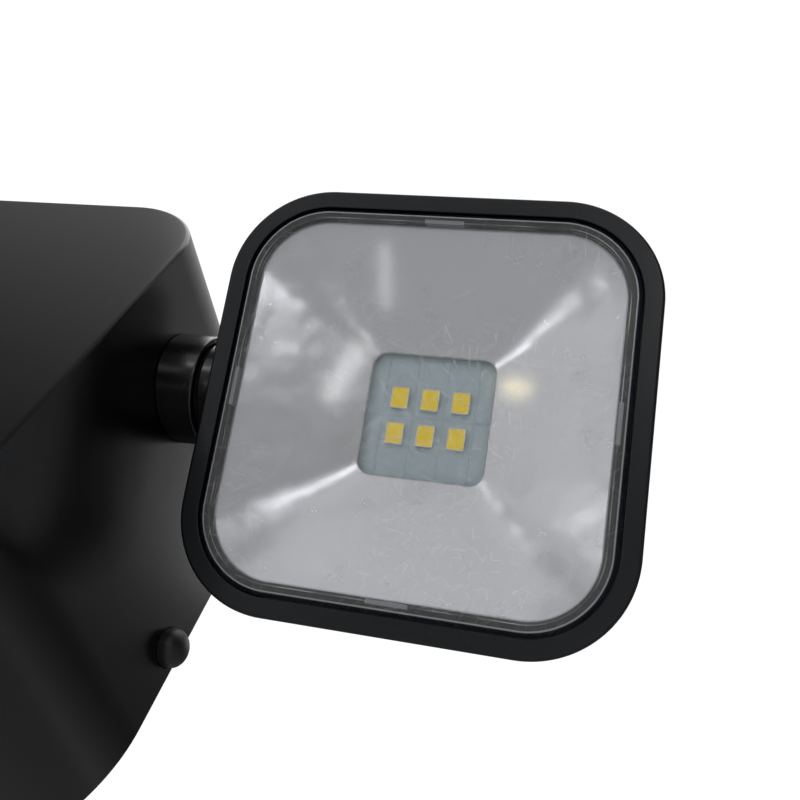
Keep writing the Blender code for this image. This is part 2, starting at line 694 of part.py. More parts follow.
def make_wall_bracket(finish):
    outline = rounded_outline(
        BRACKET_WIDTH / 2, BRACKET_HEIGHT / 2, -BRACKET_HEIGHT / 2, BRACKET_CORNER, BRACKET_CORNER
    )
    plate = loft("wall_bracket", [ring(outline, -BRACKET_THICKNESS), ring(outline, 0.0)])
    bracket = add_object("wall_bracket", plate, finish)
    hooks = []
    for x, z in HOOK_PLACES:
        left, right = x - HOOK_WIDTH / 2, x + HOOK_WIDTH / 2
        tip = HOOK_INSIDE_Y - GAP - HOOK_THICKNESS
        outline = [
            (-BRACKET_THICKNESS + ROOT, z),
            (tip, z),
            (tip, z + HOOK_THICKNESS + HOOK_LIP),
            (tip + HOOK_THICKNESS, z + HOOK_THICKNESS + HOOK_LIP),
            (tip + HOOK_THICKNESS, z + HOOK_THICKNESS),
            (-BRACKET_THICKNESS + ROOT, z + HOOK_THICKNESS),
        ]
        bm = bmesh.new()
        face = bm.faces.new([bm.verts.new((left, y, height)) for y, height in outline])
        grown = bmesh.ops.extrude_face_region(bm, geom=[face])["geom"]
        moved = [item for item in grown if isinstance(item, bmesh.types.BMVert)]
        bmesh.ops.translate(bm, verts=moved, vec=(right - left, 0, 0))
        hooks.append(finish_mesh("hook", bm))
    fuse(bracket, helper("bracket_hooks", tools_mesh("bracket_hooks", hooks)))
    slots = []
    for side in (-1, 1):
        rings = []
        for y in (-BRACKET_THICKNESS - OVERCUT, OVERCUT):
            outline = rounded_outline(
                SLOT_WIDTH / 2, SLOT_LENGTH / 2, -SLOT_LENGTH / 2, SLOT_WIDTH / 2, SLOT_WIDTH / 2
            )
            rings.append([point + Vector((side * SLOT_SPACING / 2, 0, 0)) for point in ring(outline, y)])
        slots.append(loft("slot", rings))
    cut(bracket, helper("bracket_slots", tools_mesh("bracket_slots", slots)))


def make_solar_panel(glass_finish, cell_finish):
    glass = box_mesh(
        "solar_panel_glass",
        (-PANEL_HALF_X, MIDDLE_Y - PANEL_HALF_Y, PANEL_GLASS_BOTTOM),
        (PANEL_HALF_X, MIDDLE_Y + PANEL_HALF_Y, PANEL_GLASS_TOP),
    )
    add_object("solar_panel_glass", glass, glass_finish)
    half_x, half_y = PANEL_HALF_X - PANEL_BORDER, PANEL_HALF_Y - PANEL_BORDER
    cells = box_mesh(
        "solar_cell_sheet",
        (-half_x, MIDDLE_Y - half_y, PANEL_CELLS_BOTTOM),
        (half_x, MIDDLE_Y + half_y, PANEL_GLASS_BOTTOM - GAP),
    )
    add_object("solar_cell_sheet", cells, cell_finish)


def make_motion_sensor(lens_finish, ring_finish, can_finish, board_finish):
    """The dome, its outside ring, and the sensor can on its own small board."""
    angles = [math.pi / 2 * step / DOME_STEPS for step in range(DOME_STEPS + 1)]
    arc = [(math.cos(angle), math.sin(angle)) for angle in angles]
    flange_front = INNER_FRONT_Y + GAP
    flange_back = flange_front + DOME_FLANGE
    outer = [(DOME_RADIUS * c, FRONT_Y - DOME_HEIGHT * s) for c, s in arc]
    inner_radius, inner_height = DOME_RADIUS - DOME_WALL, DOME_HEIGHT - DOME_WALL
    inner = [(inner_radius * c, FRONT_Y - inner_height * s) for c, s in arc]
    flange_radius = DOME_RADIUS + DOME_FLANGE_WIDTH
    profile = [(DOME_RADIUS, flange_front), (flange_radius, flange_front), (flange_radius, flange_back)]
    profile += [(inner_radius, flange_back)] + inner + outer[::-1]
    add_object("pir_lens", turned_y("pir_lens", profile, z=SENSOR_Z), lens_finish)

    inside = DOME_RADIUS + GAP
    ring_back = FRONT_Y - GAP
    ring_front = ring_back - SENSOR_RING_HEIGHT
    bevel = SENSOR_RING_HEIGHT / 2
    outside = inside + SENSOR_RING_WIDTH
    profile = [
        (inside, ring_back),
        (outside, ring_back),
        (outside, ring_front + bevel),
        (outside - bevel, ring_front),
        (inside, ring_front),
    ]
    add_object("pir_ring", turned_y("pir_ring", profile, z=SENSOR_Z), ring_finish)

    can_front = flange_back - SENSOR_CAN_HEIGHT
    board_front = flange_back + GAP
    can = rod_y(SENSOR_CAN_RADIUS, can_front, flange_back, 0, SENSOR_Z, SMALL_ROUND_STEPS)
    add_object("pir_sensor", can, can_finish)
    low = (-SENSOR_BOARD_WIDTH / 2, board_front, SENSOR_Z - SENSOR_BOARD_HEIGHT / 2)
    high = (
        SENSOR_BOARD_WIDTH / 2,
        board_front + BOARD_THICKNESS,
        SENSOR_Z + SENSOR_BOARD_HEIGHT / 2,
    )
    add_object("pir_board", box_mesh("pir_board", low, high), board_finish)


def make_control_board(finish):
    """The board with its charger coil, processor and battery connector."""
    front = INNER_FRONT_Y + STANDOFF_HEIGHT + GAP
    back = front + BOARD_THICKNESS
    half_z = CONTROL_BOARD_HEIGHT / 2
    board = box_mesh(
        "control_board",
        (-CONTROL_BOARD_HALF_X, front, CONTROL_BOARD_Z - half_z),
        (CONTROL_BOARD_HALF_X, back, CONTROL_BOARD_Z + half_z),
    )
    made = add_object("control_board", board, finish)
    blocks = []
    for x, z, width, height, depth in BOARD_PARTS:
        low = (x - width / 2, back - ROOT, CONTROL_BOARD_Z + z - height / 2)
        high = (x + width / 2, back + depth, CONTROL_BOARD_Z + z + height / 2)
        blocks.append(box_mesh("part", low, high))
    fuse(made, helper("board_parts", tools_mesh("board_parts", blocks)))


def make_battery(tray_finish, cell_finish):
    """Two cells lying side by side in an open tray against the rear cover."""
    inner_x = CELL_LENGTH / 2 + CELL_NUB_HEIGHT + GAP
    inner_z = 2 * CELL_RADIUS + 2 * GAP
    back = COVER_FRONT_Y - POCKET_PAD - GAP
    floor = back - TRAY_WALL
    front = floor - TRAY_WALL_HEIGHT
    outer_x, outer_z = inner_x + TRAY_WALL, inner_z + TRAY_WALL
    tray = box_mesh(
        "battery_tray", (-outer_x, front, TRAY_Z - outer_z), (outer_x, back, TRAY_Z + outer_z)
    )
    made = add_object("battery_tray", tray, tray_finish)
    low = (-inner_x, front - OVERCUT, TRAY_Z - inner_z)
    cut(made, helper("tray_space", box_mesh("tray_space", low, (inner_x, floor, TRAY_Z + inner_z))))

    profile = [
        (0.0, -CELL_LENGTH / 2),
        (CELL_RADIUS, -CELL_LENGTH / 2),
        (CELL_RADIUS, CELL_LENGTH / 2),
        (CELL_NUB_RADIUS, CELL_LENGTH / 2),
        (CELL_NUB_RADIUS, CELL_LENGTH / 2 + CELL_NUB_HEIGHT),
        (0.0, CELL_LENGTH / 2 + CELL_NUB_HEIGHT),
    ]
    mesh = turned_y("battery_cell", profile, steps=MEDIUM_ROUND_STEPS)
    for number, side in enumerate((-1, 1), start=1):
        cell = add_object(f"battery_cell_{number}", mesh, cell_finish)
        z = TRAY_Z + side * (CELL_RADIUS + GAP / 2)
        cell.location = (0, floor - GAP - CELL_RADIUS, z)
        cell.rotation_euler = (0, 0, side * math.pi / 2)


def make_mode_button(cap_finish, switch_finish, board_finish):
    """The domed cap with its stem and clip, and behind it the switch that it presses."""
    place = bpy.data.objects.new("mode_button_place", None)
    bpy.context.scene.collection.objects.link(place)
    place.matrix_world = button_frame()

    dome = []
    dome_height = BUTTON_HEIGHT - BUTTON_STRAIGHT
    for step in range(BUTTON_STEPS):
        angle = math.pi / 2 * step / BUTTON_STEPS
        dome.append((BUTTON_RADIUS * math.cos(angle), BUTTON_STRAIGHT + dome_height * math.sin(angle)))
    clip_front = -(HOUSING_WALL + GAP)
    clip_end = clip_front - BUTTON_CLIP
    profile = dome[::-1] + [
        (BUTTON_RADIUS, -BUTTON_SKIRT),
        (BUTTON_STEM_RADIUS, -BUTTON_SKIRT),
        (BUTTON_STEM_RADIUS, clip_front),
        (BUTTON_CLIP_RADIUS, clip_front),
        (BUTTON_STEM_RADIUS, clip_end),
    ]
    cap = turned_x("mode_button", profile, steps=MEDIUM_ROUND_STEPS, closed=False)
    add_object("mode_button", cap, cap_finish, place)

    switch_front = clip_end - BUTTON_TRAVEL - GAP
    switch_back = switch_front - SWITCH_HEIGHT
    half = SWITCH_SIZE / 2
    switch = box_mesh("mode_switch", (switch_back, -half, -half), (switch_front, half, half))
    add_object("mode_switch", switch, switch_finish, place)
    half_y, half_z = SWITCH_BOARD_WIDTH / 2, SWITCH_BOARD_HEIGHT / 2
    board_front = switch_back - GAP
    low = (board_front - BOARD_THICKNESS, -half_y, -half_z)
    board = box_mesh("switch_board", low, (board_front, half_y, half_z))
    add_object("switch_board", board, board_finish, place)


def make_collar(label, side, collar_finish, seal_finish, washer_finish):
    """The fixed half of one tilt joint: collar on the housing's side, its face seal and friction washer."""

    def mirrored(points):
        return [Vector((side * point.x, point.y, point.z)) for point in points]

    def circle(radius, x):
        return mirrored(circle_x(radius, x, AXIS_Y, AXIS_Z))

    def on_side(y):
        return side_x(y) + GAP

    groove = COLLAR_END - SEAL_DEPTH - GAP
    bore = TUBE_RADIUS + RUNNING_GAP
    rings = [
        circle(COLLAR_RADIUS, COLLAR_END - CREASE / 2),
        circle(COLLAR_RADIUS, on_side),
        circle(SPIGOT_RADIUS, on_side),
        circle(SPIGOT_RADIUS, COLLAR_INNER_END),
        circle(bore, COLLAR_INNER_END),
        circle(bore, COLLAR_END),
        circle(SEAL_INNER_RADIUS - GAP, COLLAR_END),
        circle(SEAL_INNER_RADIUS - GAP, groove),
        circle(SEAL_OUTER_RADIUS + GAP, groove),
        circle(SEAL_OUTER_RADIUS + GAP, COLLAR_END),
        circle(COLLAR_RADIUS - CREASE / 2, COLLAR_END),
    ]
    name = f"{label}_collar"
    add_object(name, loft(name, rings, closed=True), collar_finish)

    def flat_ring(name, outer, inner, start, end, finish):
        section = ((outer, start), (outer, end), (inner, end), (inner, start))
        add_object(name, loft(name, [circle(*point) for point in section], closed=True), finish)

    seal_front = groove + GAP
    flat_ring(
        f"{label}_collar_seal",
        SEAL_OUTER_RADIUS,
        SEAL_INNER_RADIUS,
        seal_front,
        seal_front + SEAL_DEPTH,
        seal_finish,
    )
    washer_end = COLLAR_INNER_END - GAP
    flat_ring(
        f"{label}_friction_washer",
        WASHER_RADIUS,
        bore,
        washer_end - WASHER_THICKNESS,
        washer_end,
        washer_finish,
    )


def shell_half(y):
    """Half the rear shell's size at a depth: it narrows towards its back."""
    front = HEAD_SIZE / 2 - GAP
    share = (y - SHELL_FRONT) / (HEAD_DEPTH - SHELL_FRONT)
    return front + (SHELL_BACK_HALF - front) * share


def head_ring(half, y):
    """A ring parallel to the head's outline, at one depth."""
    return square_ring(half, HEAD_CORNER - (HEAD_SIZE / 2 - half), y)


def spreader_posts():
    half = SPREADER_POST_SPACING / 2
    return [(sx * half, sz * half) for sx in (-1, 1) for sz in (-1, 1)]


def make_rear_shell(label, side, finish, parent):
    """The cup behind the bezel, with the hollow neck that points at the housing."""
    back_bevel = 2 * CREASE
    rings = [
        head_ring(shell_half(SHELL_FRONT), SHELL_FRONT),
        head_ring(shell_half(HEAD_DEPTH - back_bevel), HEAD_DEPTH - back_bevel),
        head_ring(SHELL_BACK_HALF - back_bevel, HEAD_DEPTH),
    ]
    name = f"{label}_rear_shell"
    shell = add_object(name, loft(name, rings), finish, parent)

    def along_axis(radius, start, end):
        """A rod on the tilt axis between two distances from the middle of the light."""
        ends = [side * (x - HEAD_X) for x in (start, end)]
        return rod_x(radius, min(ends), max(ends), AXIS_BEHIND_FACE, AXIS_ABOVE_CENTRE)

    fuse(shell, helper(f"{label}_neck", along_axis(NECK_RADIUS, NECK_END, INNER_BOSS_END), parent))

    tongue_half = HEAD_SIZE / 2 - BEZEL_WIDTH + TONGUE_WIDTH + GAP
    under_shelf = SHELF_BACK + SHELF_THICKNESS
    cavity = [
        head_ring(tongue_half, SHELL_FRONT - OVERCUT),
        head_ring(tongue_half, SHELF_FRONT),
        head_ring(SHELF_HALF, SHELF_FRONT),
        head_ring(SHELF_HALF, SHELF_BACK),
        head_ring(shell_half(under_shelf) - SHELL_WALL, under_shelf),
        head_ring(shell_half(SHELL_FLOOR) - SHELL_WALL, SHELL_FLOOR),
    ]
    cut(shell, helper(f"{label}_shell_space", loft("shell_space", cavity), parent))

    posts = [
        rod_y(SPREADER_POST_RADIUS, SPREADER_BACK + GAP, SHELL_FLOOR + ROOT, x, z, ROD_STEPS)
        for x, z in spreader_posts()
    ]
    wall_x = HEAD_X - shell_half(AXIS_BEHIND_FACE - INNER_BOSS_RADIUS) + ROOT
    posts.append(along_axis(INNER_BOSS_RADIUS, wall_x, INNER_BOSS_END))
    fuse(shell, helper(f"{label}_shell_posts", tools_mesh("shell_posts", posts), parent))
    bore = along_axis(TUBE_RADIUS + GAP, NECK_END - OVERCUT, INNER_BOSS_END + OVERCUT)
    cut(shell, helper(f"{label}_shell_bore", bore, parent))


def make_pivot(label, side, tube_finish, nut_finish, parent):
    """The hollow tube that holds a head to the housing, and the nut that draws it tight."""

    def along_axis(profile):
        rings = []
        for radius, x in profile:
            place = side * (x - HEAD_X)
            rings.append(circle_x(radius, place, AXIS_BEHIND_FACE, AXIS_ABOVE_CENTRE))
        return loft("turned", rings, closed=True)

    flange_start = TUBE_HEAD_END - TUBE_FLANGE
    tube = along_axis(
        [
            (TUBE_RADIUS, TUBE_BODY_END),
            (TUBE_RADIUS, flange_start),
            (TUBE_FLANGE_RADIUS, flange_start),
            (TUBE_FLANGE_RADIUS, TUBE_HEAD_END),
            (TUBE_BORE, TUBE_HEAD_END),
            (TUBE_BORE, TUBE_BODY_END),
        ]
    )
    add_object(f"{label}_pivot_tube", tube, tube_finish, parent)

    nut_start = NUT_END - NUT_HEIGHT
    rings = []
    for x in (nut_start, NUT_END):
        place = side * (x - HEAD_X)
        rings.append(circle_x(NUT_RADIUS, place, AXIS_BEHIND_FACE, AXIS_ABOVE_CENTRE, NUT_SIDES))
    name = f"{label}_pivot_nut"
    body = add_object(name, loft(name, rings), nut_finish, parent)
    ends = sorted(side * (x - HEAD_X) for x in (nut_start - OVERCUT, NUT_END + OVERCUT))
    hole = rod_x(TUBE_RADIUS + GAP, *ends, AXIS_BEHIND_FACE, AXIS_ABOVE_CENTRE)
    cut(body, helper(f"{label}_nut_hole", hole, parent))


def bezel_mesh():
    outer = HEAD_SIZE / 2
    inner = outer - BEZEL_WIDTH
    tongue = inner + TONGUE_WIDTH
    rings = [
        head_ring(outer, 0.0),
        head_ring(outer - BEZEL_PROUD, -BEZEL_PROUD),
        head_ring(inner, -BEZEL_PROUD),
        head_ring(inner, TONGUE_END),
        head_ring(tongue, TONGUE_END),
        head_ring(tongue, BEZEL_DEPTH),
        head_ring(outer, BEZEL_DEPTH),
    ]
    return loft("bezel", rings, closed=True)


def lens_mesh():
    """A flat clear plate with a skirt round its edge, which presses on the gasket."""
    rings = [
        head_ring(LENS_HALF - LENS_CHAMFER, -LENS_PROUD),
        head_ring(LENS_HALF, 0.0),
        head_ring(LENS_HALF, LENS_SKIRT_END),
        head_ring(SKIRT_HALF, LENS_SKIRT_END),
        head_ring(SKIRT_HALF, LENS_BACK),
    ]
    return loft("lens", rings)


def lens_clips_mesh():
    """A clip in the middle of each side, thickening the skirt inwards."""
    outer = (LENS_HALF + SKIRT_HALF) / 2
    half = LENS_CLIP_WIDTH / 2
    clips = []
    for sign in (-1, 1):
        near, far = sorted((sign * CLIP_HALF, sign * outer))
        for low, high in (
            ((near, LENS_BACK - ROOT, -half), (far, LENS_SKIRT_END, half)),
            ((-half, LENS_BACK - ROOT, near), (half, LENS_SKIRT_END, far)),
        ):
            clips.append(box_mesh("clip", low, high))
    return tools_mesh("lens_clips", clips)


def lens_gasket_mesh():
    outer = LENS_HALF
    inner = outer - LENS_GASKET_WIDTH
    end = GASKET_FRONT + LENS_GASKET_HEIGHT
    rings = [
        head_ring(outer, GASKET_FRONT),
        head_ring(outer, end),
        head_ring(inner, end),
        head_ring(inner, GASKET_FRONT),
    ]
    return loft("lens_gasket", rings, closed=True)


def reflector_mesh():
    """Four slopes from the rim down to the square window, with a skirt that stands on the shell's shelf."""
    window = WINDOW_SIZE / 2
    skirt = REFLECTOR_HALF - REFLECTOR_SKIRT
    skirt_end = SHELF_FRONT - GAP
    rings = [
        head_ring(REFLECTOR_HALF, REFLECTOR_FRONT),
        head_ring(RIM_HALF, REFLECTOR_FRONT),
        square_ring(window, WINDOW_CORNER, WINDOW_BEHIND_FACE),
        square_ring(window, WINDOW_CORNER, WINDOW_BEHIND_FACE + REFLECTOR_WALL),
        head_ring(RIM_HALF - REFLECTOR_WALL / 2, REFLECTOR_FRONT + 1.5 * REFLECTOR_WALL),
        head_ring(skirt, skirt_end),
        head_ring(REFLECTOR_HALF, skirt_end),
    ]
    return loft("reflector", rings, closed=True)


def spreader_mesh():
    half = SPREADER_SIZE / 2
    rings = [square_ring(half, SPREADER_CORNER, y) for y in (SPREADER_FRONT, SPREADER_BACK)]
    return loft("heat_spreader", rings)


def spreader_fins_mesh():
    fins = []
    for fin in range(SPREADER_FINS):
        z = (fin - (SPREADER_FINS - 1) / 2) * SPREADER_FIN_PITCH
        low = (-SPREADER_FIN_LENGTH / 2, SPREADER_BACK - ROOT, z - SPREADER_FIN_THICKNESS / 2)
        high = (SPREADER_FIN_LENGTH / 2, SPREADER_BACK + SPREADER_FIN_HEIGHT, z + SPREADER_FIN_THICKNESS / 2)
        fins.append(box_mesh("fin", low, high))
    return tools_mesh("spreader_fins", fins)


def make_head(label, side, shared, finishes):
    """One lamp head. Its pieces hang on an empty that stands on the tilt axis and is turned about it."""
    pivot = bpy.data.objects.new(f"{label}_tilt_axis", None)
    bpy.context.scene.collection.objects.link(pivot)
    pivot.location = (side * HEAD_X, AXIS_Y, AXIS_Z)
    pivot.rotation_euler = (TILT, 0, 0)
    face = bpy.data.objects.new(f"{label}_face", None)
    bpy.context.scene.collection.objects.link(face)
    face.parent = pivot
    face.location = (0, -AXIS_BEHIND_FACE, -AXIS_ABOVE_CENTRE)

    make_rear_shell(label, side, finishes["housing"], face)
    make_pivot(label, side, finishes["pivot"], finishes["steel"], face)
    add_object(f"{label}_bezel", shared["bezel"], finishes["bezel"], face)
    lens = add_object(f"{label}_lens", shared["lens"], finishes["lens"], face)
    fuse(lens, helper(f"{label}_lens_clips", shared["lens_clips"], face))
    add_object(f"{label}_lens_gasket", shared["lens_gasket"], finishes["rubber"], face)
    add_object(f"{label}_reflector", shared["reflector"], finishes["reflector"], face)
    add_object(f"{label}_led_board", shared["led_board"], finishes["led_board"], face)
    spreader = add_object(f"{label}_heat_spreader", shared["spreader"], finishes["aluminium"], face)
    fuse(spreader, helper(f"{label}_fins", shared["spreader_fins"], face))
    number = 0
    for row in range(LED_ROWS):
        for column in range(LED_COLUMNS):
            number += 1
            led = add_object(f"{label}_led_{number}", shared["led"], finishes["led"], face)
            x = (column - (LED_COLUMNS - 1) / 2) * LED_PITCH_X
            z = ((LED_ROWS - 1) / 2 - row) * LED_PITCH_Z
            led.location = (x, BOARD_FRONT - GAP - LED_THICKNESS, z)


def shared_head_meshes():
    """The pieces that are the same in both lamp heads."""
    half = LED_BOARD_SIZE / 2
    board = [square_ring(half, LED_BOARD_CORNER, y) for y in (BOARD_FRONT, BOARD_BACK)]
    led_low = (-LED_WIDTH / 2, 0, -LED_HEIGHT / 2)
    return {
        "bezel": bezel_mesh(),
        "lens": lens_mesh(),
        "lens_clips": lens_clips_mesh(),
        "lens_gasket": lens_gasket_mesh(),
        "reflector": reflector_mesh(),
        "led_board": loft("led_board", board),
        "spreader": spreader_mesh(),
        "spreader_fins": spreader_fins_mesh(),
        "led": box_mesh("led", led_low, (LED_WIDTH / 2, LED_THICKNESS, LED_HEIGHT / 2)),
    }


def make_finishes():
    return {
        "housing": material("housing", (0.018, 0.018, 0.02), 0.42),
        "bezel": material("bezel", (0.016, 0.017, 0.019), 0.38),
        "lens": material("lens", (0.92, 0.94, 0.95), 0.05, alpha=0.25),
        "reflector": material("reflector", (0.62, 0.63, 0.65), 0.3, metallic=0.6),
        "led_board": material("led_board", (0.5, 0.6, 0.62), 0.45),
        "led": material("led", (0.85, 0.68, 0.2), 0.4),
        "aluminium": material("aluminium", (0.7, 0.7, 0.72), 0.35, metallic=1.0),
        "steel": material("steel", (0.55, 0.56, 0.58), 0.3, metallic=1.0),
        "pivot": material("pivot", (0.03, 0.03, 0.03), 0.5),
        "rubber": material("rubber", (0.02, 0.02, 0.02), 0.8),
        "button": material("button", (0.014, 0.014, 0.015), 0.6),
        "board": material("board", (0.03, 0.22, 0.08), 0.5),
        "tray": material("tray", (0.05, 0.05, 0.05), 0.6),
        "cell": material("cell", (0.1, 0.25, 0.5), 0.4),
        "glass": material("glass", (0.8, 0.85, 0.9), 0.05, alpha=0.3),
        "solar": material("solar", (0.01, 0.015, 0.05), 0.25),
        "dome": material("dome", (0.85, 0.86, 0.85), 0.4),
    }


def main():
    clear_scene()
    finishes = make_finishes()
    make_housing(finishes["housing"])
    make_rear_cover(finishes["housing"])
    make_rear_gasket(finishes["rubber"])
    make_screws(finishes["steel"])
    make_wall_bracket(finishes["steel"])
    make_solar_panel(finishes["glass"], finishes["solar"])
    make_motion_sensor(finishes["dome"], finishes["bezel"], finishes["steel"], finishes["board"])
    make_control_board(finishes["board"])
    make_battery(finishes["tray"], finishes["cell"])
    make_mode_button(finishes["button"], finishes["tray"], finishes["board"])
    shared = shared_head_meshes()
    for label, side in (("left", -1), ("right", 1)):
        make_collar(label, side, finishes["housing"], finishes["rubber"], finishes["steel"])
        make_head(label, side, shared, finishes)


main()
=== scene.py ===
"""Looks of a wall-mounted solar flood light with two tilting lamp heads.

Every piece stands in the CAD frame, in metres: +X right as seen from in front, +Y to the wall, +Z up. The light's
visible pieces are fine surfaces worked out with numpy, and the CAD nodes inside it get their materials here.
"""

import logging
import math
from collections.abc import Iterable, Sequence
from dataclasses import dataclass
from enum import Enum, IntEnum
from functools import cached_property

import bmesh
import bpy
import numpy as np
from mathutils import Euler, Matrix, Vector


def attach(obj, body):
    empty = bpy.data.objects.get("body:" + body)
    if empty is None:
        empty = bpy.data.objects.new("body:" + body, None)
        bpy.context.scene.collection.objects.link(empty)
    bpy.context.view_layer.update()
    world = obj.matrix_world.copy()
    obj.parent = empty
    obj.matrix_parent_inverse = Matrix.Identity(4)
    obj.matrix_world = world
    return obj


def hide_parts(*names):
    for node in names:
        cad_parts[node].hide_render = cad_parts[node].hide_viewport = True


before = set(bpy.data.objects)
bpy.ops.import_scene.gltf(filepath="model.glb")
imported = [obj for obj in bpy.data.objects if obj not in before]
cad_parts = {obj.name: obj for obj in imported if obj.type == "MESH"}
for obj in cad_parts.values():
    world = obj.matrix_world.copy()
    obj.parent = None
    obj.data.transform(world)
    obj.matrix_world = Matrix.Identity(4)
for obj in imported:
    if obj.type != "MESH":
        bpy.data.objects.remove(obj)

Array = np.ndarray
Point = tuple[float, float, float]
Colour = tuple[float, float, float]
Mesh = bpy.types.Mesh
Link = bpy.types.NodeSocket

log = logging.getLogger("flood_light")

MM = 0.001
GAP = 0.3 * MM
WALL_SLOPE = 0.087
FRONT_HALF_WIDTH = 81.5 * MM
FRONT_Y = -87.8 * MM
REAR_Y = -4.0 * MM
TILT_AXIS_Y = -58.5 * MM
TILT_AXIS_Z = 32.7 * MM
PANEL_Y = -45.9 * MM
SENSOR_Z = -36.0 * MM
BUTTON_Y = -10.2 * MM
BUTTON_Z = -10.0 * MM
SCREW_COUNT = 4
LED_COUNT = 6
FOUR_WAYS = ((-1, -1), (-1, 1), (1, -1), (1, 1))
MERGE_DISTANCE = 1e-7
SMOOTH_ANGLE = math.radians(35)


class Side(Enum):
    """Which end of the light a piece belongs to; the value is the sign of its X."""

    LEFT = -1
    RIGHT = 1

    @property
    def label(self) -> str:
        """The word that starts the names of this side's nodes."""
        return self.name.lower()


class Chords(IntEnum):
    """How many straight chords stand for a full circle."""

    THIN = 24
    PLAIN = 32
    SCREW = 48
    BORE = 64
    BUTTON = 72
    OPENING = 96
    COLLAR = 128
    RING = 144


class Join(Enum):
    """How one solid changes another."""

    CUT = "DIFFERENCE"
    FUSE = "UNION"


# ---------------------------------------------------------------------------------------------- shapes


@dataclass(frozen=True)
class Place:
    """Where a sub-assembly stands in the frame: its origin and its turn about X, Y and Z."""

    origin: Point = (0.0, 0.0, 0.0)
    turn: Point = (0.0, 0.0, 0.0)

    def points(self, local: Array) -> Array:
        """Carry points from the sub-assembly's own axes into the frame.

        Args:
            local: Points, (count, 3).

        Returns:
            The turned and shifted points, (count, 3).
        """
        return local @ np.array(Euler(self.turn).to_matrix()).T + np.array(self.origin)


HERE = Place()


def filleted(points: Sequence[Sequence[float]], radii: Sequence[float], steps: int) -> Array:
    """Round the corners of a flat profile.

    Each corner becomes an arc that touches both of its sides: the arc's middle lies on the corner's bisector at the
    radius over the sine of half the angle, and the arc is swept evenly between its two ends.

    Args:
        points: Corners, (count, 2).
        radii: The fillet's radius at each corner, 0 for a sharp one.
        steps: Chords in each arc.

    Returns:
        The rounded profile, (more, 2), with no point twice.
    """
    corner, radius = np.asarray(points, float), np.asarray(radii, float)[:, None]
    back, ahead = np.roll(corner, 1, 0) - corner, np.roll(corner, -1, 0) - corner
    back /= np.linalg.norm(back, axis=1, keepdims=True)
    ahead /= np.linalg.norm(ahead, axis=1, keepdims=True)
    half = np.arccos(np.clip((back * ahead).sum(1, keepdims=True), -1, 1)) / 2
    bisector = (back + ahead) / np.maximum(np.linalg.norm(back + ahead, axis=1, keepdims=True), 1e-12)
    middle = corner + bisector * radius / np.sin(half)
    reach = radius / np.tan(half)
    start, end = corner + back * reach - middle, corner + ahead * reach - middle
    sweep = np.pi - 2 * half
    share = np.linspace(0, 1, steps + 1)[None, :, None]
    span = np.maximum(np.sin(sweep), 1e-9)[:, None]
    arcs = np.sin((1 - share) * sweep[:, None]) * start[:, None] + np.sin(share * sweep[:, None]) * end[:, None]
    flat = (middle[:, None] + arcs / span).reshape(-1, 2)
    apart = np.linalg.norm(flat - np.roll(flat, 1, 0), axis=1) > MERGE_DISTANCE
    apart[0] = True
    return flat[apart]


@dataclass(frozen=True)
class Section:
    """A profile drawn in millimetres: its corners as (across, along, radius of the fillet)."""

    corners: tuple[Point, ...]
    steps: int = 5

    def points(self) -> Array:
        """The profile in metres with its corners rounded, (count, 2)."""
        drawn = np.array(self.corners) * MM
        return filleted(drawn[:, :2], drawn[:, 2], self.steps)


def rounded_rings(
    half_width: Array | float,
    top: Array | float,
    bottom: Array | float,
    top_radius: Array | float,
    bottom_radius: Array | float,
    steps: int,
) -> Array:
    """Outlines of a rectangle with round corners, one for each value given.

    A corner is a quarter circle about the point that lies its radius in from both sides; a straight side is the chord
    between two corners.

    Args:
        half_width: Half the width of each outline.
        top: Height of each outline's upper edge.
        bottom: Height of each outline's lower edge.
        top_radius: Radius of the two upper corners.
        bottom_radius: Radius of the two lower corners.
        steps: Chords in each corner.

    Returns:
        Outlines, (rings, points, 2), counter-clockwise from the upper right corner's start.
    """
    sizes = np.broadcast_arrays(*np.atleast_1d(half_width, top, bottom, top_radius, bottom_radius))
    half, high, low, upper, lower = (np.asarray(size, float) for size in sizes)
    radius = np.stack([upper, upper, lower, lower], 1)
    middle_x = np.stack([half - upper, upper - half, lower - half, half - lower], 1)
    middle_z = np.stack([high - upper, high - upper, low + lower, low + lower], 1)
    angle = np.pi / 2 * (np.arange(4)[:, None] + np.linspace(0, 1, steps + 1)[None, :])
    x = middle_x[:, :, None] + radius[:, :, None] * np.cos(angle)
    z = middle_z[:, :, None] + radius[:, :, None] * np.sin(angle)
    return np.stack([x, z], -1).reshape(len(half), -1, 2)


def at_depths(rings: Array, depths: Array | Sequence[float]) -> Array:
    """Set outlines of (x, z) at their depths along Y.

    Args:
        rings: Outlines, (rings, points, 2).
        depths: The Y of each outline.

    Returns:
        Points, (rings, points, 3).
    """
    y = np.broadcast_to(np.asarray(depths, float)[:, None], rings.shape[:2])
    return np.stack([rings[..., 0], y, rings[..., 1]], -1)


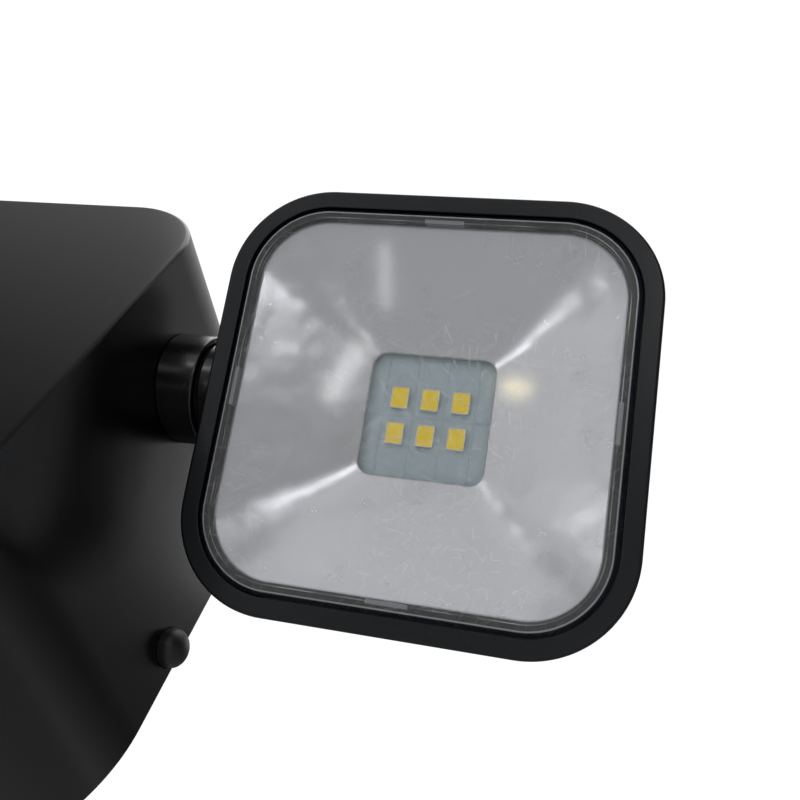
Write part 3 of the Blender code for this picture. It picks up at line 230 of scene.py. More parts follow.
@dataclass
class Surface:
    """Points and the faces between them."""

    points: Array
    faces: list[list[int]]

    @classmethod
    def skin(cls, grid: Array, along: bool = False, around: bool = True, capped: bool = True) -> "Surface":
        """Stretch quads over a grid of points.

        Args:
            grid: Points, (rows, columns, 3).
            along: Whether the last row joins the first.
            around: Whether the last column joins the first.
            capped: Whether flat faces close the first and last rows.

        Returns:
            The skin.
        """
        rows, columns = grid.shape[:2]
        index = np.arange(rows * columns).reshape(rows, columns)
        ends = [] if along or not capped else [index[0][::-1].tolist(), index[-1].tolist()]
        index = np.vstack([index, index[:1]]) if along else index
        index = np.hstack([index, index[:, :1]]) if around else index
        quads = np.stack([index[:-1, :-1], index[:-1, 1:], index[1:, 1:], index[1:, :-1]], -1)
        return cls(grid.reshape(-1, 3), quads.reshape(-1, 4).tolist() + ends)

    @classmethod
    def box(cls, low: Sequence[float], high: Sequence[float]) -> "Surface":
        """A plain block between two corners, for cutting or fusing.

        Args:
            low: Its lowest corner.
            high: Its highest corner.

        Returns:
            The block.
        """
        x = np.array([low[0], high[0], high[0], low[0]])
        z = np.array([low[2], low[2], high[2], high[2]])
        rings = np.stack([np.stack([x, np.full(4, y), z], -1) for y in (low[1], high[1])])
        return cls.skin(rings)

    @classmethod
    def joined(cls, parts: Iterable["Surface"]) -> "Surface":
        """Several surfaces in one.

        Args:
            parts: The surfaces, which stay apart in the result.

        Returns:
            All their points and faces.
        """
        points: list[Array] = []
        faces: list[list[int]] = []
        count = 0
        for part in parts:
            points.append(part.points)
            faces += [[index + count for index in face] for face in part.faces]
            count += len(part.points)
        return cls(np.vstack(points), faces)

    def shifted(self, offset: Sequence[float]) -> "Surface":
        """The same surface moved by an offset."""
        return Surface(self.points + np.asarray(offset, float), self.faces)

    def mesh(self, name: str) -> Mesh:
        """Write the surface into a mesh with merged doubles and outward faces.

        Args:
            name: The mesh's name.

        Returns:
            The mesh.
        """
        made = bpy.data.meshes.new(name)
        made.from_pydata(self.points.tolist(), [], self.faces)
        return settled(made)


def turned(profile: Array, steps: int, along: bool, lean: Array | None = None) -> Surface:
    """A body turned about the X axis.

    Each profile point (radius, x) goes round a circle of that radius; where it leans, its x also grows by the lean
    times the circle's own y, so that the ring lies on a slanted wall.

    Args:
        profile: Points (radius, x), (count, 2).
        steps: Chords in the circle.
        along: Whether the profile closes on itself.
        lean: How much each ring leans, or None for none.

    Returns:
        The turned skin.
    """
    angle = np.linspace(0, 2 * np.pi, steps, endpoint=False)[None, :]
    radius, x = profile[:, :1], profile[:, 1:]
    y, z = radius * np.cos(angle), radius * np.sin(angle)
    slant = np.zeros_like(radius) if lean is None else lean[:, None]
    return Surface.skin(np.stack([x + slant * y, y, z], -1), along)


def rod(radius: float, start: Sequence[float], length: float, axis: int, steps: int = Chords.PLAIN) -> Surface:
    """A plain round rod along X or Y, for cutting or fusing.

    Args:
        radius: Its radius.
        start: The middle of its first end.
        length: Its length towards plus.
        axis: 0 for X, 1 for Y.
        steps: Chords in the circle.

    Returns:
        The rod.
    """
    made = turned(np.array([[radius, 0.0], [radius, length]]), steps, False)
    points = made.points if axis == 0 else made.points[:, [1, 0, 2]]
    return Surface(points, made.faces).shifted(start)


def settled(mesh: Mesh, place: Place = HERE, side: Side = Side.RIGHT) -> Mesh:
    """Carry a mesh to its place, merge its doubles, turn its faces outwards and shade it.

    Args:
        mesh: The mesh, changed in place.
        place: Where it stands.
        side: LEFT mirrors it across X first.

    Returns:
        The same mesh.
    """
    flat = np.empty(len(mesh.vertices) * 3)
    mesh.vertices.foreach_get("co", flat)
    local = flat.reshape(-1, 3) * (side.value, 1, 1)
    mesh.vertices.foreach_set("co", place.points(local).ravel())
    work = bmesh.new()
    work.from_mesh(mesh)
    bmesh.ops.remove_doubles(work, verts=work.verts, dist=MERGE_DISTANCE)
    bmesh.ops.recalc_face_normals(work, faces=work.faces)
    work.to_mesh(mesh)
    work.free()
    mesh.shade_smooth()
    mesh.set_sharp_from_angle(angle=SMOOTH_ANGLE)
    return mesh


def in_scene(name: str, data: bpy.types.ID) -> bpy.types.Object:
    """Put an object in the scene.

    Args:
        name: The object's name.
        data: Its mesh, lamp or camera.

    Returns:
        The object.
    """
    made = bpy.data.objects.new(name, data)
    bpy.context.scene.collection.objects.link(made)
    return made


def worked(name: str, base: Surface, steps: Iterable[tuple[Join, Surface]]) -> Mesh:
    """Cut and fuse a solid, step by step.

    Args:
        name: The mesh's name.
        base: The solid to start from.
        steps: What to do with it, in order.

    Returns:
        The finished mesh.
    """
    mesh = base.mesh(name)
    for how, tool in steps:
        target, helper = in_scene(name, mesh), in_scene("tool", tool.mesh("tool"))
        change = target.modifiers.new("change", "BOOLEAN")
        change.operation, change.solver, change.object = how.value, "EXACT", helper
        graph = bpy.context.evaluated_depsgraph_get()
        mesh = bpy.data.meshes.new_from_object(target.evaluated_get(graph))
        bpy.data.objects.remove(target)
        bpy.data.objects.remove(helper)
    return settled(mesh)


# ------------------------------------------------------------------------------------------- materials


class Value:
    """A number that varies over a surface, so that shader maths can be written as Python expressions."""

    def __init__(self, bench: "Bench", socket: Link) -> None:
        """Wrap a node's output.

        Args:
            bench: The bench whose tree holds the node.
            socket: The output.
        """
        self.bench = bench
        self.socket = socket

    def __add__(self, other: "Value | float") -> "Value":
        """Self plus other."""
        return self.bench.maths("ADD", self, other)

    __radd__ = __add__

    def __sub__(self, other: "Value | float") -> "Value":
        """Self less other."""
        return self.bench.maths("SUBTRACT", self, other)

    def __rsub__(self, other: float) -> "Value":
        """Other less self."""
        return self.bench.maths("SUBTRACT", other, self)

    def __mul__(self, other: "Value | float") -> "Value":
        """Self times other."""
        return self.bench.maths("MULTIPLY", self, other)

    __rmul__ = __mul__

    def __pow__(self, power: float) -> "Value":
        """Self to a power."""
        return self.bench.maths("POWER", self, power)

    def __abs__(self) -> "Value":
        """Self without its sign."""
        return self.bench.maths("ABSOLUTE", self)

    def least(self, other: "Value | float") -> "Value":
        """The smaller of self and other."""
        return self.bench.maths("MINIMUM", self, other)

    def most(self, other: "Value | float") -> "Value":
        """The larger of self and other."""
        return self.bench.maths("MAXIMUM", self, other)

    def folded(self, pitch: float) -> "Value":
        """Distance to the nearest line of an even set, whose lines lie a pitch apart through 0."""
        return abs(self.bench.maths("PINGPONG", self, pitch / 2))

    def between(self, start: float, end: float) -> "Value":
        """Self brought to a share: 0 at start, 1 at end, held beyond them.

        Args:
            start: The value that gives 0.
            end: The value that gives 1, above or below start.

        Returns:
            The share, eased at both ends.
        """
        made = self.bench.node(
            "ShaderNodeMapRange",
            {"interpolation_type": "SMOOTHSTEP"},
            {"Value": self, "From Min": start, "From Max": end},
        )
        return Value(self.bench, made.outputs[0])

    def within(self, low: float, high: float, edge: float) -> "Value":
        """1 where self lies between low and high, fading out over edge on both sides.

        Args:
            low: Where the band starts.
            high: Where it ends.
            edge: How softly.

        Returns:
            The band's share.
        """
        return self.between(low - edge, low) * self.between(high + edge, high)


class Bench:
    """Makes the nodes of one material or world."""

    def __init__(self, tree: bpy.types.NodeTree) -> None:
        """Start with an empty tree.

        Args:
            tree: The node tree to fill.
        """
        self.tree = tree
        tree.nodes.clear()

    def node(self, kind: str, settings: dict | None = None, sockets: dict | None = None) -> bpy.types.Node:
        """Make one node.

        Args:
            kind: Blender's name of the node's type.
            settings: Its properties, set first; "stops" are a ramp's (position, colour) pairs.
            sockets: What its inputs get, by name or number: a value, a link or a plain number or colour.

        Returns:
            The node.
        """
        made = self.tree.nodes.new(kind)
        for name, value in (settings or {}).items():
            if name == "stops":
                ramp = made.color_ramp
                while len(ramp.elements) < len(value):
                    ramp.elements.new(1.0)
                for element, (position, colour) in zip(ramp.elements, value):
                    element.position, element.color = position, (*colour, 1.0)
            else:
                setattr(made, name, value)
        for key, value in (sockets or {}).items():
            socket = made.inputs[key]
            if isinstance(value, Value):
                self.tree.links.new(value.socket, socket)
            elif isinstance(value, Link):
                self.tree.links.new(value, socket)
            elif isinstance(value, tuple) and len(value) == 3 and socket.type == "RGBA":
                socket.default_value = (*value, 1.0)
            else:
                socket.default_value = value
        return made

    def maths(self, operation: str, *numbers: "Value | float") -> Value:
        """One Math node's result."""
        made = self.node("ShaderNodeMath", {"operation": operation}, dict(enumerate(numbers)))
        return Value(self, made.outputs[0])

    def own(self, place: Place = HERE) -> Link:
        """The piece's own coordinates, counted in a sub-assembly's axes.

        Args:
            place: Where the sub-assembly stands.

        Returns:
            The vector.
        """
        vector = self.node("ShaderNodeTexCoord").outputs["Object"]
        return self.mapped(vector, place.turn, (1.0, 1.0, 1.0), place.origin)

    def mapped(
        self,
        vector: Link,
        turn: Point = (0.0, 0.0, 0.0),
        cell: Point = (1.0, 1.0, 1.0),
        origin: Point = (0.0, 0.0, 0.0),
    ) -> Link:
        """Count coordinates from an origin, along turned axes, in cells.

        Args:
            vector: The coordinates.
            turn: Turn of the new axes.
            cell: Length of a cell along each.
            origin: Where they start.

        Returns:
            The new coordinates.
        """
        made = self.node(
            "ShaderNodeMapping",
            {"vector_type": "TEXTURE"},
            {"Vector": vector, "Rotation": turn, "Scale": cell, "Location": origin},
        )
        return made.outputs[0]

    def parts(self, vector: Link) -> tuple[Value, Value, Value]:
        """A vector's three numbers.

        Args:
            vector: The vector.

        Returns:
            Its X, Y and Z.
        """
        made = self.node("ShaderNodeSeparateXYZ", sockets={0: vector})
        x, y, z = (Value(self, socket) for socket in made.outputs)
        return x, y, z

    def noise(self, vector: Link, size: float, detail: float = 2.0) -> Value:
        """Soft random patches.

        Args:
            vector: Coordinates.
            size: Size of a patch.
            detail: Finer layers in it.

        Returns:
            A value about 0.5.
        """
        made = self.node("ShaderNodeTexNoise", sockets={"Vector": vector, "Scale": 1 / size, "Detail": detail})
        return Value(self, made.outputs["Fac"])

    def specks(self, vector: Link, spacing: float, radius: float) -> Value:
        """Small random dots.

        Args:
            vector: Coordinates.
            spacing: Rough distance between them.
            radius: Their radius.

        Returns:
            1 in a dot's middle, 0 outside.
        """
        made = self.node("ShaderNodeTexVoronoi", sockets={"Vector": vector, "Scale": 1 / spacing})
        return Value(self, made.outputs["Distance"]).between(radius / spacing, 0.5 * radius / spacing)

    def hairs(self, vector: Link, turn: Point, length: float, width: float, spread: float) -> Value:
        """Fine straight scratches, all much the same way: dots of a Voronoi pattern stretched along one axis.

        Args:
            vector: Coordinates.
            turn: Direction of their X axis.
            length: Length of a scratch.
            width: Its width.
            spread: Distance between neighbours, in lengths and in widths.

        Returns:
            1 on a scratch, 0 elsewhere.
        """
        cells = self.mapped(vector, turn, (length * spread, width * spread, width * spread))
        made = self.node("ShaderNodeTexVoronoi", sockets={"Vector": cells, "Scale": 1.0})
        return Value(self, made.outputs["Distance"]).between(0.5 / spread, 0.2 / spread)

    def scratches(self, vector: Link, cell: float, width: float, lean: float, spread: float) -> Value:
        """Straight scratches on a plane, one in each cell of a flat Voronoi pattern.

        With (u, v) the place counted from the cell's own point and turned by the cell's own angle, a scratch is where
        v is within half its width and u within its length.

        Args:
            vector: Coordinates, whose X and Y span the plane.
            cell: Size of a cell, which is a little more than a scratch is long.
            width: Width of a scratch.
            lean: The angle they lie at.
            spread: How far their angles differ from it.

        Returns:
            1 on a scratch, 0 elsewhere.
        """
        made = self.node("ShaderNodeTexVoronoi", {"voronoi_dimensions": "2D"}, {"Vector": vector, "Scale": 1 / cell})
        x, y, _ = self.parts(vector)
        near_x, near_y, _ = self.parts(made.outputs["Position"])
        chance, _, _ = self.parts(made.outputs["Color"])
        angle = lean + (chance - 0.5) * spread
        cosine, sine = self.maths("COSINE", angle), self.maths("SINE", angle)
        off_x, off_y = x - near_x, y - near_y
        along, across = abs(off_x * cosine + off_y * sine), abs(off_y * cosine - off_x * sine)
        return across.between(width / 2, width / 5) * along.between(0.46 * cell, 0.25 * cell)

    def mix(self, share: Value | float, first: Colour | Link, second: Colour | Link) -> Link:
        """A colour between two colours.

        Args:
            share: 0 for the first, 1 for the second.
            first: A colour or a link to one.
            second: Another.

        Returns:
            The mixed colour.
        """
        made = self.node("ShaderNodeMix", {"data_type": "RGBA"}, {0: share, 6: first, 7: second})
        return made.outputs[2]

    def bump(self, height: Value, depth: float, strength: float = 1.0) -> Link:
        """A normal tipped by a height map.

        Args:
            height: The relief, 0 to 1.
            depth: How deep 1 is.
            strength: How much of it shows.

        Returns:
            The normal.
        """
        made = self.node("ShaderNodeBump", sockets={"Height": height, "Distance": depth, "Strength": strength})
        return made.outputs[0]

    def principled(self, **sockets: object) -> Link:
        """A Principled shader; an underscore in a word stands for a space, as in Base_Color."""
        named = {name.replace("_", " "): value for name, value in sockets.items()}
        return self.node("ShaderNodeBsdfPrincipled", sockets=named).outputs[0]

    def clear_plate(self, least: float, tint: Colour, roughness: float) -> Link:
        """Clear where one looks in and glossy at a glance: the gloss grows with the fifth power of Layer Weight.

        Args:
            least: The gloss straight on.
            tint: Colour of what is seen through it.
            roughness: How blurred its reflections are.

        Returns:
            The shader.
        """
        facing = Value(self, self.node("ShaderNodeLayerWeight", sockets={"Blend": 0.5}).outputs["Facing"])
        clear = self.node("ShaderNodeBsdfTransparent", sockets={"Color": tint}).outputs[0]
        gloss = self.node("ShaderNodeBsdfGlossy", sockets={"Color": (1.0, 1.0, 1.0), "Roughness": roughness})
        return self.blend(least + facing**5 * 0.8, clear, gloss.outputs[0])

    def hazed(self, share: Value, plate: Link, colour: Colour) -> Link:
        """A plate with a matt film on it.

        Args:
            share: How much of the film shows.
            plate: The plate's shader.
            colour: The film's colour.

        Returns:
            The shader.
        """
        return self.blend(share, plate, self.node("ShaderNodeBsdfDiffuse", sockets={"Color": colour}).outputs[0])

    def seen(self) -> Value:
        """1 for what the camera sees directly, 0 in reflections and for light."""
        return Value(self, self.node("ShaderNodeLightPath").outputs["Is Camera Ray"])

    def blend(self, share: Value | float, first: Link, second: Link) -> Link:
        """A shader between two shaders.

        Args:
            share: 0 for the first, 1 for the second.
            first: A shader.
            second: Another.

        Returns:
            The mixed shader.
        """
        return self.node("ShaderNodeMixShader", sockets={0: share, 1: first, 2: second}).outputs[0]


@dataclass(frozen=True)
class Finish:
    """What a piece is made of and how its surface looks. The slot is a second name for it, which several finishes can
    share.
    """

    name: str
    slot: str
    place: Place = HERE

    def shader(self, bench: Bench, own: Link) -> Link:
        """Make the finish's nodes and return its shader."""
        raise NotImplementedError

    @cached_property
    def material(self) -> bpy.types.Material:
        """The finish as a Blender material, made once.

        Returns:
            The material.
        """
        made = bpy.data.materials.new(self.name)
        made.use_nodes = True
        bench = Bench(made.node_tree)
        shader = self.shader(bench, bench.own(self.place))
        bench.node("ShaderNodeOutputMaterial", sockets={"Surface": shader})
        return made


@dataclass(frozen=True)
class MouldedPlastic(Finish):
    """Satin moulded plastic: fine grain, cloudy gloss, hair scratches and dust."""

    colour: Colour = (0.0022, 0.0022, 0.0026)
    gloss: float = 0.21
    specular: float = 0.5
    grain: float = 0.22 * MM
    grain_depth: float = 0.004 * MM
    wear: float = 1.0

    def shader(self, bench: Bench, own: Link) -> Link:
        """Grain as bump, gloss that drifts over centimetres, and worn hairs and specks that are lighter and duller.

        Args:
            bench: Makes the nodes.
            own: The piece's own coordinates.

        Returns:
            The shader.
        """
        cloud = bench.noise(own, 26 * MM, 3)
        patches = bench.noise(own, 60 * MM).between(0.42, 0.66)
        hairs = bench.hairs(own, (0.5, 0.9, 0.4), 7 * MM, 0.1 * MM, 3.4)
        hairs = hairs.most(bench.hairs(own, (1.1, -0.6, -0.9), 4 * MM, 0.09 * MM, 3.9)) * patches
        dust = bench.specks(own, 5.5 * MM, 0.12 * MM)
        worn = (hairs * 0.6 + dust * 0.8) * self.wear
        pale = tuple(0.05 + 1.5 * part for part in self.colour)
        return bench.principled(
            Base_Color=bench.mix(worn.least(1.0), self.colour, pale),
            Roughness=self.gloss - 0.03 + cloud * 0.06 + worn * 0.12,
            Specular_IOR_Level=self.specular,
            Normal=bench.bump(bench.noise(own, self.grain, 3), self.grain_depth),
        )


@dataclass(frozen=True)
class Rubber(Finish):
    """Matt rubber with a dusty bloom."""

    colour: Colour = (0.012, 0.012, 0.012)
    gloss: float = 0.7
    bloom: float = 0.3

    def shader(self, bench: Bench, own: Link) -> Link:
        """A fine pebbled bump, and bloom in soft patches.

        Args:
            bench: Makes the nodes.
            own: The piece's own coordinates.

        Returns:
            The shader.
        """
        bloom = bench.noise(own, 9 * MM, 4).between(0.45, 0.8)
        return bench.principled(
            Base_Color=bench.mix(bloom * self.bloom, self.colour, (0.05, 0.05, 0.052)),
            Roughness=self.gloss - bloom * 0.1,
            Normal=bench.bump(bench.noise(own, 0.3 * MM, 2), 0.01 * MM),
        )


@dataclass(frozen=True)
class PlatedSteel(Finish):
    """Zinc-plated pressed steel: faint drawing lines and dull spots."""

    colour: Colour = (0.52, 0.53, 0.55)
    gloss: float = 0.34
    lines: Point = (0.0, 0.0, 0.0)

    def shader(self, bench: Bench, own: Link) -> Link:
        """Long thin noise for the drawing lines, patches of dull plating and a few scratches.

        Args:
            bench: Makes the nodes.
            own: The piece's own coordinates.

        Returns:
            The shader.
        """
        drawn = bench.noise(bench.mapped(own, self.lines, (30 * MM, 0.2 * MM, 0.2 * MM)), 1.0, 3)
        dull = bench.noise(own, 6 * MM, 4).between(0.45, 0.75)
        hairs = bench.hairs(own, (0.3, 0.8, 0.2), 6 * MM, 0.12 * MM, 3.2)
        return bench.principled(
            Base_Color=bench.mix(dull * 0.5, self.colour, (0.38, 0.39, 0.4)),
            Metallic=1.0,
            Roughness=self.gloss + dull * 0.14 + drawn * 0.08 - hairs * 0.1,
            Normal=bench.bump(drawn, 0.006 * MM, 0.6),
        )


@dataclass(frozen=True)
class CircuitBoard(Finish):
    """Green solder mask over copper tracks."""

    mask: Colour = (0.012, 0.085, 0.03)
    track: Colour = (0.03, 0.16, 0.06)
    pitch: float = 2.2 * MM

    def shader(self, bench: Bench, own: Link) -> Link:
        """Tracks are lines of an even grid, kept where a cell pattern says so; they stand slightly proud.

        Args:
            bench: Makes the nodes.
            own: The piece's own coordinates.

        Returns:
            The shader.
        """
        x, _, z = bench.parts(own)
        cell = bench.noise(own, 5 * MM, 0)
        upright = x.folded(self.pitch).between(0.32 * MM, 0.22 * MM) * cell.between(0.5, 0.54)
        level = z.folded(self.pitch).between(0.32 * MM, 0.22 * MM) * cell.between(0.48, 0.44)
        tracks = upright.most(level)
        pads = bench.specks(own, 3.4 * MM, 0.7 * MM)
        return bench.principled(
            Base_Color=bench.mix(pads, bench.mix(tracks, self.mask, self.track), (0.6, 0.6, 0.58)),
            Roughness=0.36 + pads * 0.1,
            Metallic=pads * 0.8,
            Normal=bench.bump(tracks.most(pads), 0.04 * MM),
        )


@dataclass(frozen=True)
class BatterySleeve(Finish):
    """Shrunk plastic sleeve round a cell, with a metal nub at its end."""

    colour: Colour = (0.02, 0.1, 0.32)
    sleeve_end: float = 32.2 * MM

    def shader(self, bench: Bench, own: Link) -> Link:
        """Bare metal past the sleeve's end, and fine wrinkles round it.

        Args:
            bench: Makes the nodes.
            own: The piece's own coordinates.

        Returns:
            The shader.
        """
        x, _, _ = bench.parts(own)
        bare = abs(x).between(self.sleeve_end, self.sleeve_end + 0.2 * MM)
        wrinkles = bench.noise(bench.mapped(own, cell=(9 * MM, 2 * MM, 2 * MM)), 1.0, 2)
        return bench.principled(
            Base_Color=bench.mix(bare, self.colour, (0.6, 0.6, 0.6)),
            Metallic=bare,
            Roughness=0.3 + wrinkles * 0.14,
            Normal=bench.bump(wrinkles, 0.12 * MM),
        )


@dataclass(frozen=True)
class ReflectorCoating(Finish):
    """Silver-white coating sprayed on moulded plastic."""

    colour: Colour = (0.655, 0.65, 0.668)
    gloss: float = 0.22

    def shader(self, bench: Bench, own: Link) -> Link:
        """Moulding flow as long soft waves, a fine sprayed grain, and faint stains.

        Args:
            bench: Makes the nodes.
            own: The piece's own coordinates.

        Returns:
            The shader.
        """
        waves = bench.noise(own, 17 * MM, 2)
        fine = bench.noise(own, 0.35 * MM, 2)
        stains = bench.noise(own, 7 * MM, 5).between(0.55, 0.8)
        return bench.principled(
            Base_Color=bench.mix(stains * 0.35, self.colour, (0.52, 0.515, 0.53)),
            Metallic=0.5,
            Roughness=self.gloss + fine * 0.06 + stains * 0.05,
            Normal=bench.bump(waves + fine * 0.004, 0.7 * MM),
        )


@dataclass(frozen=True)
class ClearLens(Finish):
    """Clear plastic plate: gloss, scratches from handling, and a thick edge painted in bands, whose pale lines are
    painted highlights.

    The bands follow the plate's rounded outline. Distance in from the outline is the corner's radius less the length
    of the part of (x, z) that lies beyond the corner's middle.
    """

    half: float = 45.4 * MM
    corner: float = 18.4 * MM
    front: float = 1.5 * MM
    chamfer: tuple[float, float] = (1.15 * MM, 0.9 * MM)
    ridge_highlight: tuple[float, float] = (0.95 * MM, 1.15 * MM)
    second_ridge_highlight: tuple[float, float] = (2.35 * MM, 2.45 * MM)
    band: tuple[float, float] = (3.1 * MM, 2.9 * MM)
    clip_band: tuple[float, float] = (1.9 * MM, 2.8 * MM)
    clip_half: float = 4.5 * MM
    soft: float = 0.1 * MM

    def shader(self, bench: Bench, own: Link) -> Link:
        """Clear where one looks in, glossy at a glance, hazy on scratches, and streaked along the rim with painted
        highlights.

        Args:
            bench: Makes the nodes.
            own: The piece's own coordinates.

        Returns:
            The shader.
        """
        x, y, z = bench.parts(own)
        straight = self.half - self.corner
        past_x, past_z = abs(x) - straight, abs(z) - straight
        round_part = (past_x.most(0.0) ** 2 + past_z.most(0.0) ** 2) ** 0.5
        inset = self.corner - round_part - past_x.most(past_z).least(0.0)

        swarm = bench.noise(bench.mapped(own, origin=(24 * MM, 0.0, 20 * MM)), 34 * MM, 2).between(0.4, 0.6)
        face = bench.mapped(own, turn=(math.pi / 2, 0.0, 0.0))
        swirl = bench.mapped(face, origin=(9 * MM, 5 * MM, 0.0))
        hairs = bench.scratches(face, 4.1 * MM, 0.1 * MM, 0.8, 2.2)
        hairs = hairs.most(bench.scratches(swirl, 6.3 * MM, 0.11 * MM, -0.4, 3.0))
        hairs = hairs.most(bench.scratches(swirl, 2.7 * MM, 0.09 * MM, 0.3, 6.0)) * swarm
        long_hairs = bench.scratches(face, 21 * MM, 0.12 * MM, 0.9, 1.0)
        film = bench.noise(own, 12 * MM, 5).between(0.4, 0.8) * 0.022
        dust = bench.specks(own, 9 * MM, 0.14 * MM)
        marks = (hairs * 0.5).most(long_hairs * 0.3).most(dust * 0.3) + film
        plate = bench.hazed(marks, bench.clear_plate(0.045, (0.96, 0.965, 0.97), 0.075), (0.92, 0.92, 0.94))

        front = y.between(self.front, 0.6 * self.front)
        ribs = bench.noise(bench.mapped(own, cell=(1.6 * MM, 4 * MM, 1.6 * MM)), 1.0, 3).between(0.35, 0.75)
        chamfer = inset.between(*self.chamfer)
        # The two ridge lines are painted highlights: pale lines where the thick edge would catch light.
        ridge_highlight = inset.within(*self.ridge_highlight, 1.2 * self.soft)
        second = inset.within(*self.second_ridge_highlight, self.soft)
        band = inset.between(*self.band)
        middle = abs(x).least(abs(z)).between(self.clip_half + self.soft, self.clip_half)
        clip = middle * inset.within(*self.clip_band, self.soft)
        drift = bench.noise(bench.mapped(own, cell=(14 * MM, 14 * MM, 14 * MM)), 1.0, 1).between(0.35, 0.7)
        tone = bench.mix(chamfer, (0.05, 0.052, 0.055), (0.012, 0.016, 0.024))
        tone = bench.mix((ribs * 0.5 * (1 - chamfer)).least(1.0), tone, (0.1, 0.1, 0.098))
        # Painted highlights: both ridge lines mixed in pale.
        tone = bench.mix((ridge_highlight * 0.7 + second * drift).least(1.0), tone, (0.5, 0.52, 0.52))
        tone = bench.mix(clip * 0.8, tone, (0.3, 0.32, 0.33))
        edge = bench.principled(Base_Color=tone, Roughness=0.2, Coat_Weight=0.5, Coat_Roughness=0.05)
        share = (band * 0.62).most(chamfer * 0.85).most(ridge_highlight * 0.7).most(clip * 0.75) * front
        return bench.blend(share, plate, edge)


@dataclass(frozen=True)
class LedBoard(Finish):
    """Pale blue-grey solder mask on an aluminium board, with its tracks showing faintly."""

    colour: Colour = (0.455, 0.55, 0.58)

    def shader(self, bench: Bench, own: Link) -> Link:
        """Broad tracks as slightly raised, slightly paler areas, with specks of flux.

        Args:
            bench: Makes the nodes.
            own: The piece's own coordinates.

        Returns:
            The shader.
        """
        x, _, z = bench.parts(own)
        gaps = (x - 3.65 * MM).folded(7.3 * MM).between(0.35 * MM, 0.2 * MM)
        gaps = gaps.most(z.folded(17.2 * MM).between(0.35 * MM, 0.2 * MM))
        flux = bench.specks(own, 4.2 * MM, 0.28 * MM)
        cloud = bench.noise(own, 6 * MM, 4)
        base = bench.mix(gaps * 0.35, self.colour, (0.32, 0.41, 0.44))
        return bench.principled(
            Base_Color=bench.mix(flux * 0.6, base, (0.16, 0.18, 0.17)),
            Roughness=0.4 + cloud * 0.12,
            Normal=bench.bump(1 - gaps, 0.05 * MM),
        )


@dataclass(frozen=True)
class Ceramic(Finish):
    """White package frame of a light-emitting diode."""

    colour: Colour = (0.82, 0.82, 0.78)

    def shader(self, bench: Bench, own: Link) -> Link:
        """Smooth white with a trace of yellow bleeding from the phosphor.

        Args:
            bench: Makes the nodes.
            own: The piece's own coordinates.

        Returns:
            The shader.
        """
        warm = bench.noise(own, 1.2 * MM, 2).between(0.4, 0.7)
        return bench.principled(Base_Color=bench.mix(warm * 0.5, self.colour, (0.84, 0.76, 0.5)), Roughness=0.35)


@dataclass(frozen=True)
class Phosphor(Finish):
    """Yellow phosphor in clear gel."""

    colour: Colour = (0.9, 0.68, 0.02)

    def shader(self, bench: Bench, own: Link) -> Link:
        """Grainy yellow, paler where the gel is thin, with a faint painted glow: the gel emits a little light of its
        own.

        Args:
            bench: Makes the nodes.
            own: The piece's own coordinates.

        Returns:
            The shader.
        """
        grain = bench.noise(own, 0.25 * MM, 4)
        thin = bench.noise(own, 2.2 * MM, 1).between(0.45, 0.7)
        base = bench.mix(grain, (0.86, 0.6, 0.01), self.colour)
        return bench.principled(
            Base_Color=bench.mix(thin * 0.3, base, (1.0, 0.84, 0.24)),
            Roughness=0.5,
            # Painted glow: a faint emission that makes the unlit phosphor shine.
            Emission_Color=(0.9, 0.62, 0.0),
            Emission_Strength=0.14,
            Normal=bench.bump(grain, 0.03 * MM),
        )


@dataclass(frozen=True)
class PanelGlass(Finish):
    """Toughened cover glass with a printed black border."""

    half_x: float = 54.0 * MM
    half_y: float = 34.0 * MM
    border: float = 2.4 * MM

    def shader(self, bench: Bench, own: Link) -> Link:
        """Clear inside the border, glossy at a glance, with dust.

        Args:
            bench: Makes the nodes.
            own: The piece's own coordinates.

        Returns:
            The shader.
        """
        x, y, _ = bench.parts(own)
        print_edge = (self.half_x - abs(x)).least(self.half_y - abs(y)).between(self.border, self.border - 0.2 * MM)
        dust = bench.specks(own, 3.2 * MM, 0.14 * MM) * 0.4 + bench.noise(own, 20 * MM, 5).between(0.5, 0.9) * 0.05
        plate = bench.hazed(dust, bench.clear_plate(0.05, (0.93, 0.95, 0.97), 0.06), (0.7, 0.69, 0.66))
        ink = bench.principled(Base_Color=(0.006, 0.006, 0.007), Roughness=0.12)
        return bench.blend(print_edge, plate, ink)


@dataclass(frozen=True)
class SolarCells(Finish):
    """Dark blue silicon cells with silver busbars and fine fingers."""

    cell_x: float = 17.2 * MM
    cell_y: float = 31.0 * MM

    def shader(self, bench: Bench, own: Link) -> Link:
        """Cells apart by pale gaps; busbars along Y, fingers across them; each cell's blue drifts a little.

        Args:
            bench: Makes the nodes.
            own: The piece's own coordinates.

        Returns:
            The shader.
        """
        x, y, _ = bench.parts(own)
        gap = x.folded(self.cell_x).between(0.5 * MM, 0.4 * MM).most(y.folded(self.cell_y).between(0.5 * MM, 0.4 * MM))
        bars = (x - self.cell_x / 2).folded(self.cell_x / 2).between(0.55 * MM, 0.45 * MM)
        fingers = y.folded(1.9 * MM).between(0.09 * MM, 0.05 * MM)
        silver = bars.most(fingers) * (1 - gap)
        shade = bench.noise(own, 14 * MM, 6)
        silicon = bench.mix(shade, (0.004, 0.008, 0.035), (0.012, 0.022, 0.085))
        return bench.principled(
            Base_Color=bench.mix(silver, bench.mix(gap, silicon, (0.05, 0.05, 0.055)), (0.55, 0.56, 0.58)),
            Roughness=0.3 - shade * 0.08 + gap * 0.3,
            Metallic=silver * 0.8,
            Normal=bench.bump(silver, 0.03 * MM),
        )


